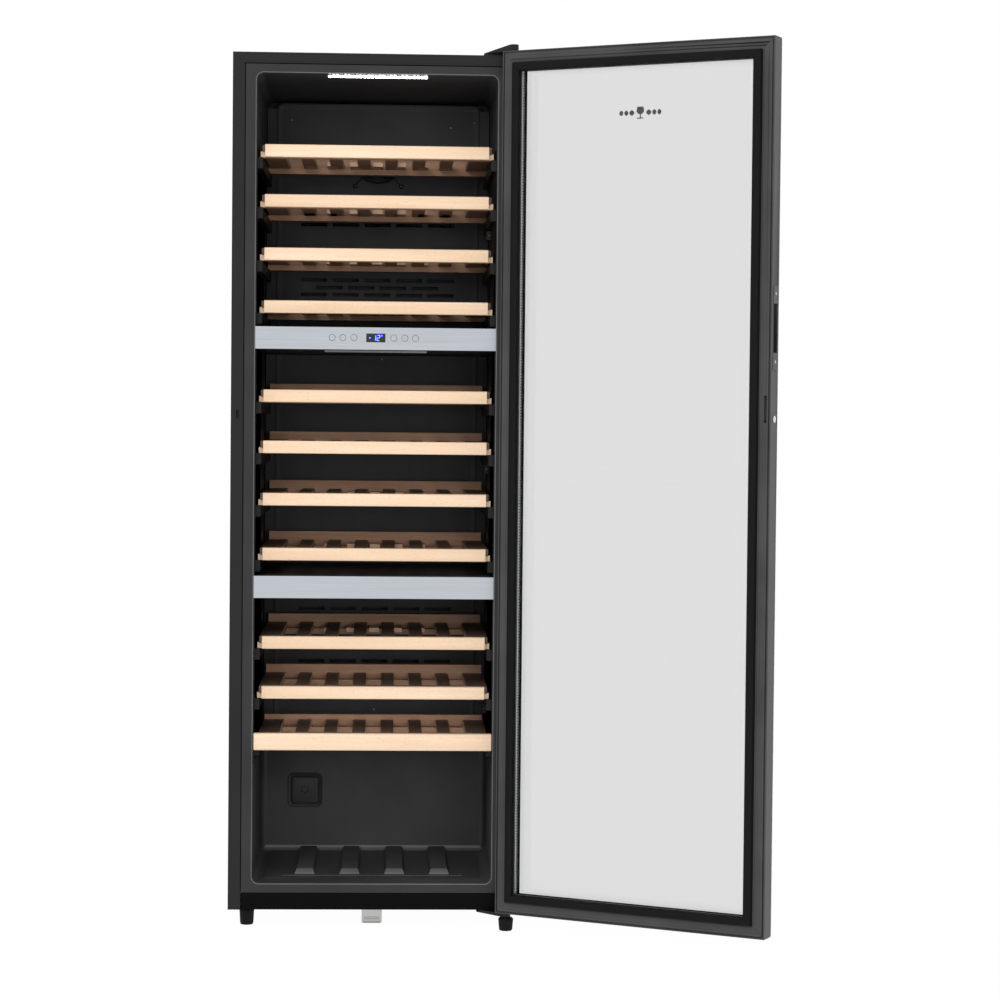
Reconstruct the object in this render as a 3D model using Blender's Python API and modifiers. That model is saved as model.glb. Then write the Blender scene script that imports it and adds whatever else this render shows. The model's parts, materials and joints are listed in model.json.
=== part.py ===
"""Tall two-zone wine cooler with a hinged glass door, modelled as its separate pieces.

Design frame: X to the right, Y from the cabinet's front face towards its back, Z up from the floor.
The door is drawn closed and turned open by its pivot empty. The whole model hangs on an empty that puts
the origin on the floor under the middle of the cabinet.
"""
import math

import bmesh
import bpy
from mathutils import Matrix, Vector

# ---- driving dimensions, in metres -------------------------------------------------------------
CABINET_WIDTH = 0.595
CABINET_DEPTH = 0.635
CABINET_BOTTOM = 0.036
CABINET_TOP = 1.807
SHEET = 0.0012          # steel of the casing
GAP = 0.0003            # air between pieces that touch
SHELL_FLANGE = 0.025    # front return of the casing at its sides, and along its top
SHELL_TOP_FLANGE = 0.022

OPENING_WIDTH = 0.500
OPENING_BOTTOM = 0.089
OPENING_TOP = 1.767
OPENING_RADIUS = 0.016
LINER = 0.0015
LINER_FLANGE_BOTTOM = 0.0717
LINER_DEPTH = 0.545
STEP_DEPTH = 0.430      # the liner's back wall below the step over the compressor
STEP_TOP = 0.370

MACHINE_FRONT = 0.472   # front, top and half width of the compressor compartment
MACHINE_TOP = 0.310
MACHINE_HALF_WIDTH = 0.268
INLET_X = 0.245          # middle of the mains inlet on the back
INLET_Z = 0.260

DUCT_FRONT = 0.490      # face of the duct panels that cover the evaporators
DUCT_THICKNESS = 0.004
FAN_HEIGHT = 1.649
FAN_OPENING_RADIUS = 0.066
LOWER_FAN_HEIGHT = 0.5685
FAN_DEPTH = 0.512
SLOT_PITCH = 0.0712
SLOT_SIZE = (0.0585, 0.0075)
UPPER_SLOT_ROWS = ((1.491, 5), (1.367, 5), (1.350, 4), (1.334, 5))    # (height, number of slots)
LOWER_SLOT_ROWS = ((0.628, 5), (0.509, 5))

FASCIA_HEIGHT = 0.0460
CONTROL_BOTTOM = 1.1985
LOWER_FASCIA_BOTTOM = 0.6835
FASCIA_DEPTH = 0.018
FASCIA_FRONT = 0.0015
BUTTON_RADIUS = 0.0062
BUTTON_PROUD = 0.0006
BUTTON_HOLE_PLAY = 0.0005
BUTTON_NAMES = ("power", "light", "unit", "zone", "up", "down")
BUTTON_X = (-0.0900, -0.0680, -0.0450, 0.0370, 0.0600, 0.0820)
BUTTON_Z = CONTROL_BOTTOM + 0.0245

SHELF_BOTTOMS = (1.5950, 1.4920, 1.3820, 1.2730, 1.0885, 0.9825, 0.8740, 0.7600, 0.5760, 0.4720)
LOW_SHELF_BOTTOM = 0.3670
LOW_STRIP_RISE = 0.0090  # how much taller the lowest shelf's strip is
LOW_STRIP_HALF_WIDTH = 0.2465
LOW_SHELF_SHIFT = -0.020 # the lowest shelf sits this much further forward
STRIP_HALF_WIDTH = 0.2315
STRIP_HEIGHT = 0.0265
STRIP_THICKNESS = 0.018
SHELF_FRONT = 0.024
RACK_HALF_WIDTH = 0.2375
RACK_BACK = 0.450
SHORT_RACK_BACK = 0.352  # the two lowest racks are shorter, and the lowest one's back bar is lower
LOW_RACK_BACK = 0.306
SIDE_BOARD_WIDTH = 0.043
BOARD_THICKNESS = 0.0140
SLAT_COUNT = 6
SLAT_WIDTH = 0.0270
CROSS_BAR_WIDTH = 0.030
CROSS_BAR_HEIGHTS = (0.0005, 0.0125)
RUNNER_HALF_LENGTH = 0.2415  # the cross bars reach out past the boards and ride on the rails
BACK_BAR_HALF_LENGTH = 0.2365
BACK_BAR_THICKNESS = 0.013
BACK_BAR_RISE = 0.018
LOW_BACK_BAR_RISE = 0.011
LEDGE_HALF_WIDTH = 0.2365
LEDGE_HEIGHT = 0.0235
RAIL_FRONT = 0.032
RAIL_BACK = 0.470

DOOR_HALF_WIDTH = 0.295
DOOR_BOTTOM = 0.037
DOOR_TOP = 1.8108
DOOR_INNER = -0.012     # inner and outer faces of the closed door
DOOR_OUTER = -0.053
DOOR_BORDER = 0.043
GLASS = 0.004
INNER_GLASS_BACK = -0.0300
SPACER_WIDTH = 0.012
GASKET_OUTER = 0.0250   # from the door's edge to the gasket's outer and inner sides
GASKET_INNER = 0.0425
DOOR_OPEN_DEG = 151.62

PIVOT = (0.2785, -0.0300)
PIN_RADIUS = 0.0040
PIN_HOLE_RADIUS = 0.0050
PIN_LENGTH = 0.026
HINGE_PLATE = 0.0045
HINGE_REACH = 0.0600      # from the pivot to the left end of both hinge plates
HINGE_EYE_RADIUS = 0.0095

LOCK_HEIGHT = 1.0624
LOCK_DEPTH = -0.032
LOCK_RADIUS = 0.007
TONGUE_X = (-0.2855, -0.2815)
TONGUE_LENGTH = 0.044
HANDLE_BOTTOM = 1.159
HANDLE_TOP = 1.325
HANDLE_Y = (-0.0445, -0.0195)
HANDLE_DEPTH = 0.024

FOOT_RADIUS = 0.0158
FRONT_RIGHT_FOOT = 0.0280 # height of the foot under the hinge
LEFT_FOOT = (-0.2595, 0.035)
REAR_FOOT = (0.250, 0.580)

ROUND_STEPS = 16


# ---- scene, materials and empties --------------------------------------------------------------
for old in list(bpy.data.objects):
    bpy.data.objects.remove(old, do_unlink=True)

PARTS = bpy.data.collections.new("wine_cooler")
CUTTERS = bpy.data.collections.new("wine_cooler_cutters")
bpy.context.scene.collection.children.link(PARTS)
bpy.context.scene.collection.children.link(CUTTERS)


def material(name, colour, roughness, metallic=0.0):
    made = bpy.data.materials.new(name)
    made.use_nodes = True
    shader = made.node_tree.nodes["Principled BSDF"]
    shader.inputs["Base Color"].default_value = (*colour, 1.0)
    shader.inputs["Roughness"].default_value = roughness
    shader.inputs["Metallic"].default_value = metallic
    made.diffuse_color = (*colour, 1.0)
    return made


CASING = ("casing", (0.045, 0.045, 0.048), 0.45)
LINING = ("lining", (0.020, 0.020, 0.022), 0.50)
DARK_PLASTIC = ("dark_plastic", (0.015, 0.015, 0.016), 0.40)
FOAM = ("foam", (0.80, 0.72, 0.45), 0.90)
BEECH = ("beech", (0.80, 0.60, 0.40), 0.50)
BRUSHED = ("brushed", (0.62, 0.66, 0.71), 0.35, 1.0)
ZINC = ("zinc", (0.70, 0.70, 0.68), 0.35, 1.0)
COPPER = ("copper", (0.75, 0.38, 0.22), 0.35, 1.0)
RUBBER = ("rubber", (0.012, 0.012, 0.012), 0.70)
CLEAR = ("clear", (0.75, 0.78, 0.78), 0.05)
LAMP = ("lamp", (0.95, 0.97, 1.00), 0.30)
SCREEN = ("screen", (0.01, 0.01, 0.02), 0.10)


def pivot(name, parent, point, turn_deg=0.0):
    """An empty at a design point. Meshes stay in design coordinates, and attach() takes the point off."""
    empty = bpy.data.objects.new(name, None)
    PARTS.objects.link(empty)
    empty.parent = parent
    base = Vector(parent["at"]) if parent else Vector((0, 0, 0))
    empty.location = Vector(point) - base
    empty.rotation_euler = (0, 0, math.radians(turn_deg))
    empty["at"] = point
    return empty


def attach(obj, parent):
    obj.parent = parent
    obj.location = -Vector(parent["at"])
    return obj


ROOT = bpy.data.objects.new("wine_cooler", None)
PARTS.objects.link(ROOT)
ROOT.location = (0, -CABINET_DEPTH / 2, 0)
ROOT["at"] = (0.0, 0.0, 0.0)
DOOR = pivot("door_pivot", ROOT, (*PIVOT, 0.0), DOOR_OPEN_DEG)


# ---- shapes ------------------------------------------------------------------------------------
def new_object(name, mesh, parent, collection=PARTS, look=None):
    obj = bpy.data.objects.new(name, mesh)
    collection.objects.link(obj)
    if look:
        mesh.materials.append(material(name + "_" + look[0], *look[1:]))
    if collection is CUTTERS:
        obj.hide_render = True
        obj.display_type = "WIRE"
    return attach(obj, parent)


def add_box(bm, x, y, z):
    """A box between the given low and high limits on each axis; returns its vertices."""
    low, high = Vector((x[0], y[0], z[0])), Vector((x[1], y[1], z[1]))
    size = Matrix.Diagonal((*(high - low), 1))
    return bmesh.ops.create_cube(bm, size=1, matrix=Matrix.Translation((low + high) / 2) @ size)["verts"]


def boxes(name, limits, parent, look=None, collection=PARTS):
    """One object of one or several boxes, each given as (x, y, z) limits."""
    bm = bmesh.new()
    for x, y, z in limits:
        add_box(bm, x, y, z)
    mesh = bpy.data.meshes.new(name)
    bm.to_mesh(mesh)
    bm.free()
    return new_object(name, mesh, parent, collection, look)


def rounded_box(name, x, y, z, radius, parent, look=None, collection=PARTS, along=1, segments=4):
    """A box whose four edges along one axis are rounded."""
    bm = bmesh.new()
    add_box(bm, x, y, z)
    across = [i for i in range(3) if i != along]
    edges = []
    for edge in bm.edges:
        run = edge.verts[1].co - edge.verts[0].co
        if all(abs(run[i]) < 1e-6 for i in across):
            edges.append(edge)
    bmesh.ops.bevel(bm, geom=edges, offset=radius, segments=segments, profile=0.5, affect="EDGES")
    mesh = bpy.data.meshes.new(name)
    bm.to_mesh(mesh)
    bm.free()
    return new_object(name, mesh, parent, collection, look)


def cylinder(name, centre, radius, length, axis, parent, look=None, collection=PARTS):
    """A cylinder centred on a point, along axis "X", "Y" or "Z"."""
    turn = {"X": Matrix.Rotation(math.pi / 2, 4, "Y"), "Y": Matrix.Rotation(math.pi / 2, 4, "X"),
            "Z": Matrix.Identity(4)}[axis]
    bm = bmesh.new()
    bmesh.ops.create_cone(bm, cap_ends=True, segments=ROUND_STEPS, radius1=radius, radius2=radius, depth=length,
                          matrix=Matrix.Translation(centre) @ turn)
    mesh = bpy.data.meshes.new(name)
    bm.to_mesh(mesh)
    bm.free()
    return new_object(name, mesh, parent, collection, look)


def hull(name, points, parent):
    """A convex solid around the given points, kept with the cutters for a union."""
    bm = bmesh.new()
    for point in points:
        bm.verts.new(point)
    bmesh.ops.convex_hull(bm, input=bm.verts)
    mesh = bpy.data.meshes.new(name)
    bm.to_mesh(mesh)
    bm.free()
    return new_object(name, mesh, parent, CUTTERS)


def turned(name, profile, centre, parent, look):
    """A turned body: profile is (radius, height) points from the top down its outer side, on a Z axis."""
    mesh = bpy.data.meshes.new(name)
    points = [(radius, 0, height) for radius, height in profile]
    mesh.from_pydata(points, [(i, i + 1) for i in range(len(points) - 1)], [])
    obj = new_object(name, mesh, parent, PARTS, look)
    obj.location += Vector(centre)
    screw = obj.modifiers.new("turn", "SCREW")
    screw.steps = ROUND_STEPS
    screw.render_steps = ROUND_STEPS
    screw.use_merge_vertices = True
    screw.merge_threshold = 0.00001
    return obj


def boolean(target, other, operation):
    step = target.modifiers.new(operation.lower(), "BOOLEAN")
    step.operation = operation
    step.solver = "EXACT"
    step.object = other
    return target


def cut(target, *cutters):
    for cutter in cutters:
        boolean(target, cutter, "DIFFERENCE")
    return target


def fuse(target, *others):
    for other in others:
        boolean(target, other, "UNION")
    return target


def cutter_box(name, x, y, z, parent):
    return boxes(name, [(x, y, z)], parent, None, CUTTERS)


def baked_mesh(obj):
    """The object's mesh with its modifiers applied, for copies to share."""
    bpy.context.view_layer.update()
    evaluated = obj.evaluated_get(bpy.context.evaluated_depsgraph_get())
    return bpy.data.meshes.new_from_object(evaluated)


def tube(name, points, radius, parent, look):
    """A round tube along straight runs."""
    curve = bpy.data.curves.new(name, "CURVE")
    curve.dimensions = "3D"
    curve.bevel_depth = radius
    curve.bevel_resolution = 1
    curve.use_fill_caps = True
    spline = curve.splines.new("POLY")
    spline.points.add(len(points) - 1)
    for point, place in zip(spline.points, points):
        point.co = (*place, 1)
    return new_object(name, curve, parent, PARTS, look)


def serpentine(x, y, z, rows, bend_points=3):
    """Points of a coil that runs to and fro in X between z limits, with half-round bends, at depth y."""
    pitch = (z[1] - z[0]) / (rows - 1)
    points = []
    for row in range(rows):
        height = z[0] + row * pitch
        ends = x if row % 2 == 0 else (x[1], x[0])
        points.append((ends[0], y, height))
        points.append((ends[1], y, height))
        if row == rows - 1:
            break
        side = 1 if ends[1] > ends[0] else -1
        for k in range(1, bend_points + 1):
            angle = math.pi * k / (bend_points + 1)
            reach = side * math.sin(angle) * pitch / 2
            points.append((ends[1] + reach, y, height + pitch / 2 - math.cos(angle) * pitch / 2))
    return points


# ---- cabinet casing ----------------------------------------------------------------------------
HALF_WIDTH = CABINET_WIDTH / 2
HALF_OPENING = OPENING_WIDTH / 2
INSIDE = HALF_WIDTH - SHEET


def outer_shell():
    """Sides and top bent from one sheet, with a narrow front return that has the lock's slot."""
    shell = boxes("outer_shell", [((-HALF_WIDTH, HALF_WIDTH), (0, CABINET_DEPTH), (CABINET_BOTTOM, CABINET_TOP))],
                  ROOT, CASING)
    below = CABINET_BOTTOM - 0.01
    hollow = cutter_box("shell_hollow", (-INSIDE, INSIDE), (SHEET, CABINET_DEPTH + 0.01),
                        (below, CABINET_TOP - SHEET), ROOT)
    front_half = HALF_WIDTH - SHELL_FLANGE
    front = cutter_box("shell_front", (-front_half, front_half), (-0.01, 0.01),
                       (below, CABINET_TOP - SHELL_TOP_FLANGE), ROOT)
    slot = cutter_box("shell_lock_slot", (TONGUE_X[0] - 0.001, TONGUE_X[1] + 0.001), (-0.01, 0.01),
                      (LOCK_HEIGHT - 0.009, LOCK_HEIGHT + 0.009), ROOT)
    return cut(shell, hollow, front, slot)


def rear_panel():
    """The flat back sheet, from the compressor compartment up."""
    return boxes("rear_panel", [((-INSIDE + GAP, INSIDE - GAP), (CABINET_DEPTH - 0.0015, CABINET_DEPTH),
                                 (MACHINE_TOP + 0.002, CABINET_TOP - SHEET - GAP))], ROOT, CASING)


def base_pan():
    return boxes("base_pan", [((-INSIDE + GAP, INSIDE - GAP), (0.006, CABINET_DEPTH - 0.002),
                               (CABINET_BOTTOM + 0.0003, CABINET_BOTTOM + 0.0023))], ROOT, CASING)


def kick_plate():
    """The strip below the door opening, with a lip along its lower edge."""
    half = HALF_WIDTH - SHELL_FLANGE - GAP
    height = (CABINET_BOTTOM + 0.0002, LINER_FLANGE_BOTTOM - 0.0004)
    plate = boxes("kick_plate", [((-half, half), (0.0010, 0.0030), height)], ROOT, DARK_PLASTIC)
    lip = boxes("kick_plate_rib", [((-half, half), (0.0002, 0.0020), (0.0435, 0.0465))], ROOT, None, CUTTERS)
    return fuse(plate, lip)


def insulation_foam():
    """Foam that fills the space between the casing and the liner."""
    foam_side = INSIDE - GAP
    foam = boxes("insulation_foam", [((-foam_side, foam_side), (0.0033, CABINET_DEPTH - 0.002),
                                      (CABINET_BOTTOM + 0.0026, CABINET_TOP - SHEET - GAP))], ROOT, FOAM)
    play = LINER + GAP
    side = HALF_OPENING + play
    tub = rounded_box("foam_tub", (-side, side), (-0.01, STEP_DEPTH + play),
                      (OPENING_BOTTOM - play, OPENING_TOP + play), OPENING_RADIUS + play, ROOT, None, CUTTERS)
    rear = cutter_box("foam_tub_rear", (-side, side), (STEP_DEPTH - 0.05, LINER_DEPTH + play),
                      (STEP_TOP - play, OPENING_TOP - OPENING_RADIUS), ROOT)
    rear_top = rounded_box("foam_tub_top", (-side, side), (STEP_DEPTH - 0.06, LINER_DEPTH + play),
                           (STEP_TOP + 0.1, OPENING_TOP + play), OPENING_RADIUS + play, ROOT, None, CUTTERS)
    machine = cutter_box("foam_machine", (-MACHINE_HALF_WIDTH, MACHINE_HALF_WIDTH),
                         (MACHINE_FRONT, CABINET_DEPTH + 0.01), (CABINET_BOTTOM - 0.01, MACHINE_TOP), ROOT)
    slot = cutter_box("foam_lock_slot", (TONGUE_X[0] - 0.002, TONGUE_X[1] + 0.002), (-0.01, 0.020),
                      (LOCK_HEIGHT - 0.012, LOCK_HEIGHT + 0.012), ROOT)
    return cut(foam, tub, rear, rear_top, machine, slot)


def inner_liner():
    """The moulded tub: front flange with rounded corners, side walls, and a step over the compressor."""
    flange_half = HALF_WIDTH - SHELL_FLANGE - 0.0008
    liner = boxes("inner_liner", [((-flange_half, flange_half), (0, LINER),
                                   (LINER_FLANGE_BOTTOM, CABINET_TOP - SHELL_TOP_FLANGE - 0.0008))], ROOT, LINING)
    side = HALF_OPENING + LINER
    tub = rounded_box("liner_tub", (-side, side), (0.0005, STEP_DEPTH + LINER),
                      (OPENING_BOTTOM - LINER, OPENING_TOP + LINER), OPENING_RADIUS + LINER, ROOT, None, CUTTERS)
    rear = rounded_box("liner_tub_rear", (-side, side), (STEP_DEPTH - 0.05, LINER_DEPTH + LINER),
                       (STEP_TOP - LINER, OPENING_TOP + LINER), OPENING_RADIUS + LINER, ROOT, None, CUTTERS)
    room = rounded_box("liner_room", (-HALF_OPENING, HALF_OPENING), (-0.01, STEP_DEPTH),
                       (OPENING_BOTTOM, OPENING_TOP), OPENING_RADIUS, ROOT, None, CUTTERS)
    rear_room = rounded_box("liner_room_rear", (-HALF_OPENING, HALF_OPENING), (STEP_DEPTH - 0.06, LINER_DEPTH),
                            (STEP_TOP, OPENING_TOP), OPENING_RADIUS, ROOT, None, CUTTERS)
    return cut(fuse(liner, tub, rear), room, rear_room)


def floor_cradles():
    """Raised rests moulded into one mat, for bottles on the cabinet's floor."""
    floor = OPENING_BOTTOM + GAP
    mat = boxes("floor_mat", [((-0.228, 0.228), (0.070, STEP_DEPTH - 0.006), (floor, floor + 0.002))], ROOT, LINING)
    rests = []
    for k in range(4):
        centre = (k - 1.5) * 0.095
        rests.append(((centre - 0.019, centre + 0.019), (0.120, STEP_DEPTH - 0.007), (floor + 0.001, floor + 0.011)))
    return fuse(mat, boxes("floor_rests", rests, ROOT, None, CUTTERS))


def shelf_rail(side):
    """A wall strip with one ledge for each shelf's runners. side is -1 or 1."""
    name = "shelf_rail_" + ("left" if side < 0 else "right")
    wall = sorted((side * (HALF_OPENING - GAP), side * (HALF_OPENING - 0.003)))
    ledge = sorted((side * (HALF_OPENING - 0.001), side * LEDGE_HALF_WIDTH))
    ledges = []
    for bottom in SHELF_BOTTOMS + (LOW_SHELF_BOTTOM + LOW_STRIP_RISE,):
        top = bottom + CROSS_BAR_HEIGHTS[0] - GAP
        back = STEP_DEPTH - 0.015 if bottom < STEP_TOP + 0.01 else RAIL_BACK
        ledges.append((ledge, (RAIL_FRONT + 0.001, back), (top - LEDGE_HEIGHT, top)))
    rail = boxes(name, [(wall, (RAIL_FRONT, STEP_DEPTH - 0.020), (0.335, 1.620))], ROOT, LINING)
    return fuse(rail, boxes(name + "_ledges", ledges, ROOT, None, CUTTERS))


# ---- air ducts, dividers, fascias and lights ---------------------------------------------------
DUCT_HALF_WIDTH = HALF_OPENING - 0.0015


def slot_row(height, count):
    """Air slots in one row, centred on the panel."""
    limits = []
    for k in range(count):
        centre = (k - (count - 1) / 2) * SLOT_PITCH
        limits.append(((centre - SLOT_SIZE[0] / 2, centre + SLOT_SIZE[0] / 2), (DUCT_FRONT - 0.01, DUCT_FRONT + 0.01),
                       (height - SLOT_SIZE[1] / 2, height + SLOT_SIZE[1] / 2)))
    return limits


def duct_panel(name, bottom, top, rows, fan_height=None):
    """A panel in front of the liner's back wall, with rows of air slots and perhaps a fan opening."""
    panel = boxes(name, [((-DUCT_HALF_WIDTH, DUCT_HALF_WIDTH), (DUCT_FRONT, DUCT_FRONT + DUCT_THICKNESS),
                          (bottom, top))], ROOT, LINING)
    slots = [limits for height, count in rows for limits in slot_row(height, count)]
    if slots:
        cut(panel, boxes(name + "_slots", slots, ROOT, None, CUTTERS))
    if fan_height:
        cut(panel, cylinder(name + "_fan", (0, DUCT_FRONT, fan_height), FAN_OPENING_RADIUS, 0.03, "Y", ROOT,
                            None, CUTTERS))
    return panel


def divider(name, bottom):
    """The insulated shelf between two compartments, behind its fascia."""
    return boxes(name, [((-HALF_OPENING + 0.0035, HALF_OPENING - 0.0035), (FASCIA_FRONT + FASCIA_DEPTH + GAP,
                         DUCT_FRONT - GAP), (bottom + 0.0005, bottom + FASCIA_HEIGHT - 0.0005))], ROOT, LINING)


def fascia(name, bottom):
    half = HALF_OPENING - 0.0015
    return boxes(name, [((-half, half), (FASCIA_FRONT, FASCIA_FRONT + FASCIA_DEPTH),
                         (bottom, bottom + FASCIA_HEIGHT))], ROOT, BRUSHED)


def control_fascia():
    """The upper fascia, with a window recess, button holes and a hollow back for the control board."""
    panel = fascia("control_fascia", CONTROL_BOTTOM)
    window = cutter_box("window_recess", (-0.0195, 0.0195), (FASCIA_FRONT - 0.01, FASCIA_FRONT + 0.0025),
                        (BUTTON_Z - 0.0088, BUTTON_Z + 0.0088), ROOT)
    room = cutter_box("fascia_room", (-0.120, 0.120), (FASCIA_FRONT + 0.004, FASCIA_FRONT + FASCIA_DEPTH + 0.01),
                      (CONTROL_BOTTOM + 0.006, CONTROL_BOTTOM + FASCIA_HEIGHT - 0.006), ROOT)
    cut(panel, window, room)
    for name, x in zip(BUTTON_NAMES, BUTTON_X):
        cut(panel, cylinder("hole_" + name, (x, FASCIA_FRONT, BUTTON_Z), BUTTON_RADIUS + BUTTON_HOLE_PLAY, 0.03,
                            "Y", ROOT, None, CUTTERS))
    return panel


def display_window():
    return boxes("display_window", [((-0.0192, 0.0192), (FASCIA_FRONT - 0.0002, FASCIA_FRONT + 0.0022),
                                     (BUTTON_Z - 0.0085, BUTTON_Z + 0.0085))], ROOT, SCREEN)


def button(name, x):
    """A push button whose pivot empty sits on its travel axis."""
    axis = pivot("travel_" + name, ROOT, (x, FASCIA_FRONT, BUTTON_Z))
    return cylinder("button_" + name, (x, FASCIA_FRONT - BUTTON_PROUD + 0.003, BUTTON_Z), BUTTON_RADIUS, 0.006, "Y",
                    axis, BRUSHED)


def light_bar(name, height, half_width=0.106):
    """A lamp strip fixed under a ceiling at the given height."""
    return boxes(name, [((-half_width, half_width), (0.030, 0.046), (height - 0.005, height - GAP))], ROOT, LAMP)


# ---- cooling system ----------------------------------------------------------------------------
def fan(name, height):
    """A seven-blade rotor that turns about Y behind a duct panel."""
    axis = pivot(name + "_axis", ROOT, (0, FAN_DEPTH, height))
    hub = cylinder(name, (0, FAN_DEPTH, height), 0.020, 0.020, "Y", axis, DARK_PLASTIC)
    bm = bmesh.new()
    for k in range(7):
        verts = add_box(bm, (-0.010, 0.010), (-0.0012, 0.0012), (0.015, 0.054))
        pitch = Matrix.Rotation(math.radians(35), 4, "Z")
        turn = Matrix.Rotation(2 * math.pi * k / 7, 4, "Y")
        bmesh.ops.transform(bm, matrix=Matrix.Translation((0, FAN_DEPTH, height)) @ turn @ pitch, verts=verts)
    mesh = bpy.data.meshes.new(name + "_blades")
    bm.to_mesh(mesh)
    bm.free()
    return fuse(hub, new_object(name + "_blades", mesh, axis, CUTTERS))


def evaporator(name, bottom):
    """A coil between a duct panel and the liner's back wall."""
    return tube(name, serpentine((-0.19, 0.19), 0.534, (bottom, bottom + 0.14), 6), 0.0045, ROOT, COPPER)


def compressor():
    """A domed steel shell on a foot ring, standing on the base pan."""
    floor = CABINET_BOTTOM + 0.0026
    profile = ((0, 0.165), (0.030, 0.163), (0.052, 0.150), (0.061, 0.125), (0.061, 0.080), (0.064, 0.078),
               (0.064, 0.072), (0.061, 0.070), (0.061, 0.035), (0.048, 0.012), (0.070, 0.008), (0.070, 0), (0, 0))
    return turned("compressor", profile, (-0.170, 0.552, floor), ROOT, CASING)


def condenser():
    return tube("condenser", serpentine((0.02, 0.22), 0.560, (0.070, 0.250), 8), 0.004, ROOT, COPPER)


def compressor_cover():
    """The rear grille over the compressor compartment, with a hole for the mains inlet."""
    cover = boxes("compressor_cover", [((-INSIDE + 0.003, INSIDE - 0.003), (CABINET_DEPTH - 0.0015, CABINET_DEPTH),
                                        (CABINET_BOTTOM + 0.004, MACHINE_TOP))], ROOT, CASING)
    louvres = []
    for column in (-0.140, 0.0):
        for row in range(8):
            height = 0.080 + row * 0.026
            louvres.append(((column - 0.055, column + 0.055), (CABINET_DEPTH - 0.01, CABINET_DEPTH + 0.01),
                            (height, height + 0.009)))
    cut(cover, boxes("cover_louvres", louvres, ROOT, None, CUTTERS))
    inlet = cutter_box("cover_inlet", (INLET_X - 0.0145, INLET_X + 0.0145), (CABINET_DEPTH - 0.01,
                       CABINET_DEPTH + 0.01), (INLET_Z - 0.0105, INLET_Z + 0.0105), ROOT)
    return cut(cover, inlet)


def mains_inlet():
    """The socket for a mains lead, with its three contacts."""
    depth = CABINET_DEPTH
    body = boxes("mains_inlet", [((INLET_X - 0.014, INLET_X + 0.014), (depth - 0.020, depth + 0.0018),
                                  (INLET_Z - 0.010, INLET_Z + 0.010))], ROOT, DARK_PLASTIC)
    well = cutter_box("inlet_well", (INLET_X - 0.0115, INLET_X + 0.0115), (depth - 0.015, depth + 0.01),
                      (INLET_Z - 0.0075, INLET_Z + 0.0075), ROOT)
    pins = []
    for x, z in ((-0.007, -0.002), (0.0, 0.003), (0.007, -0.002)):
        pins.append(((INLET_X + x - 0.001, INLET_X + x + 0.001), (depth - 0.016, depth - 0.008),
                     (INLET_Z + z - 0.002, INLET_Z + z + 0.002)))
    return fuse(cut(body, well), boxes("inlet_pins", pins, ROOT, None, CUTTERS))


def carbon_filter():
    """The filter's square cap on the lower back wall; it pulls straight out."""
    return rounded_box("carbon_filter", (-0.1905, -0.1135), (STEP_DEPTH - 0.008, STEP_DEPTH - GAP),
                       (0.1865, 0.2635), 0.014, ROOT, LINING)


# ---- hinges, feet and fixings ------------------------------------------------------------------
def hinge(name, plate_z, arm_z, eye_z, pin_z):
    """A plate on the cabinet, and an arm that widens in height towards the eye that holds the door's pin."""
    left, right = PIVOT[0] - HINGE_REACH, PIVOT[0] + 0.0135
    plate = boxes(name, [((left, right), (0.006, 0.055), plate_z)], ROOT, CASING)
    ring = [(PIVOT[0] + HINGE_EYE_RADIUS * math.cos(2 * math.pi * k / ROUND_STEPS),
             PIVOT[1] + HINGE_EYE_RADIUS * math.sin(2 * math.pi * k / ROUND_STEPS)) for k in range(ROUND_STEPS)]
    points = [(x, y, z) for x, y in ring for z in eye_z]
    points += [(x, y, z) for x in (left + 0.001, right - 0.001) for y in (0.010, 0.020) for z in arm_z]
    pin = cylinder(name + "_pin", (*PIVOT, sum(pin_z) / 2), PIN_RADIUS, pin_z[1] - pin_z[0], "Z", ROOT, None, CUTTERS)
    return fuse(plate, hull(name + "_arm", points, ROOT), pin)


def hinge_bracket_top():
    """The upper hinge: its arm lies over the door's top, and its pin points down."""
    low = CABINET_TOP + GAP
    arm_low = DOOR_TOP + 0.0009
    return hinge("hinge_bracket_top", (low, low + HINGE_PLATE), (arm_low, arm_low + 0.0009),
                 (arm_low, arm_low + 0.0135), (DOOR_TOP - PIN_LENGTH / 2, arm_low + 0.005))


def hinge_bracket_bottom():
    """The lower hinge: it carries the door on its pin, and the front right foot stands under its eye."""
    top = CABINET_BOTTOM - GAP
    return hinge("hinge_bracket_bottom", (top - HINGE_PLATE, top), (top - 0.0055, top - 0.0002),
                 (FRONT_RIGHT_FOOT + GAP, top - 0.0002), (top - 0.005, DOOR_BOTTOM + PIN_LENGTH / 2))


def levelling_foot(name, place, height):
    """A ribbed screw foot that stands on the floor."""
    axis = pivot(name + "_axis", ROOT, (*place, 0.0))
    wide = FOOT_RADIUS
    profile = ((0, height), (wide * 0.80, height), (wide, height - 0.004), (wide * 0.84, 0), (0, 0))
    return turned(name, profile, (*place, 0.0), axis, RUBBER)


def fixing_bracket():
    """A folded plate under the middle of the base, for fixing the cooler down."""
    top = CABINET_BOTTOM - GAP
    plate = boxes("fixing_bracket", [((-0.0200, 0.0220), (0.008, 0.040), (top - 0.0015, top))], ROOT, ZINC)
    drop = boxes("fixing_drop", [((-0.0200, 0.0220), (0.008, 0.0095), (0.0080, top - 0.0010))], ROOT, None, CUTTERS)
    lip = boxes("fixing_lip", [((-0.0170, 0.0190), (0.001, 0.0090), (0.0080, 0.0095))], ROOT, None, CUTTERS)
    return fuse(plate, drop, lip)


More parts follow.
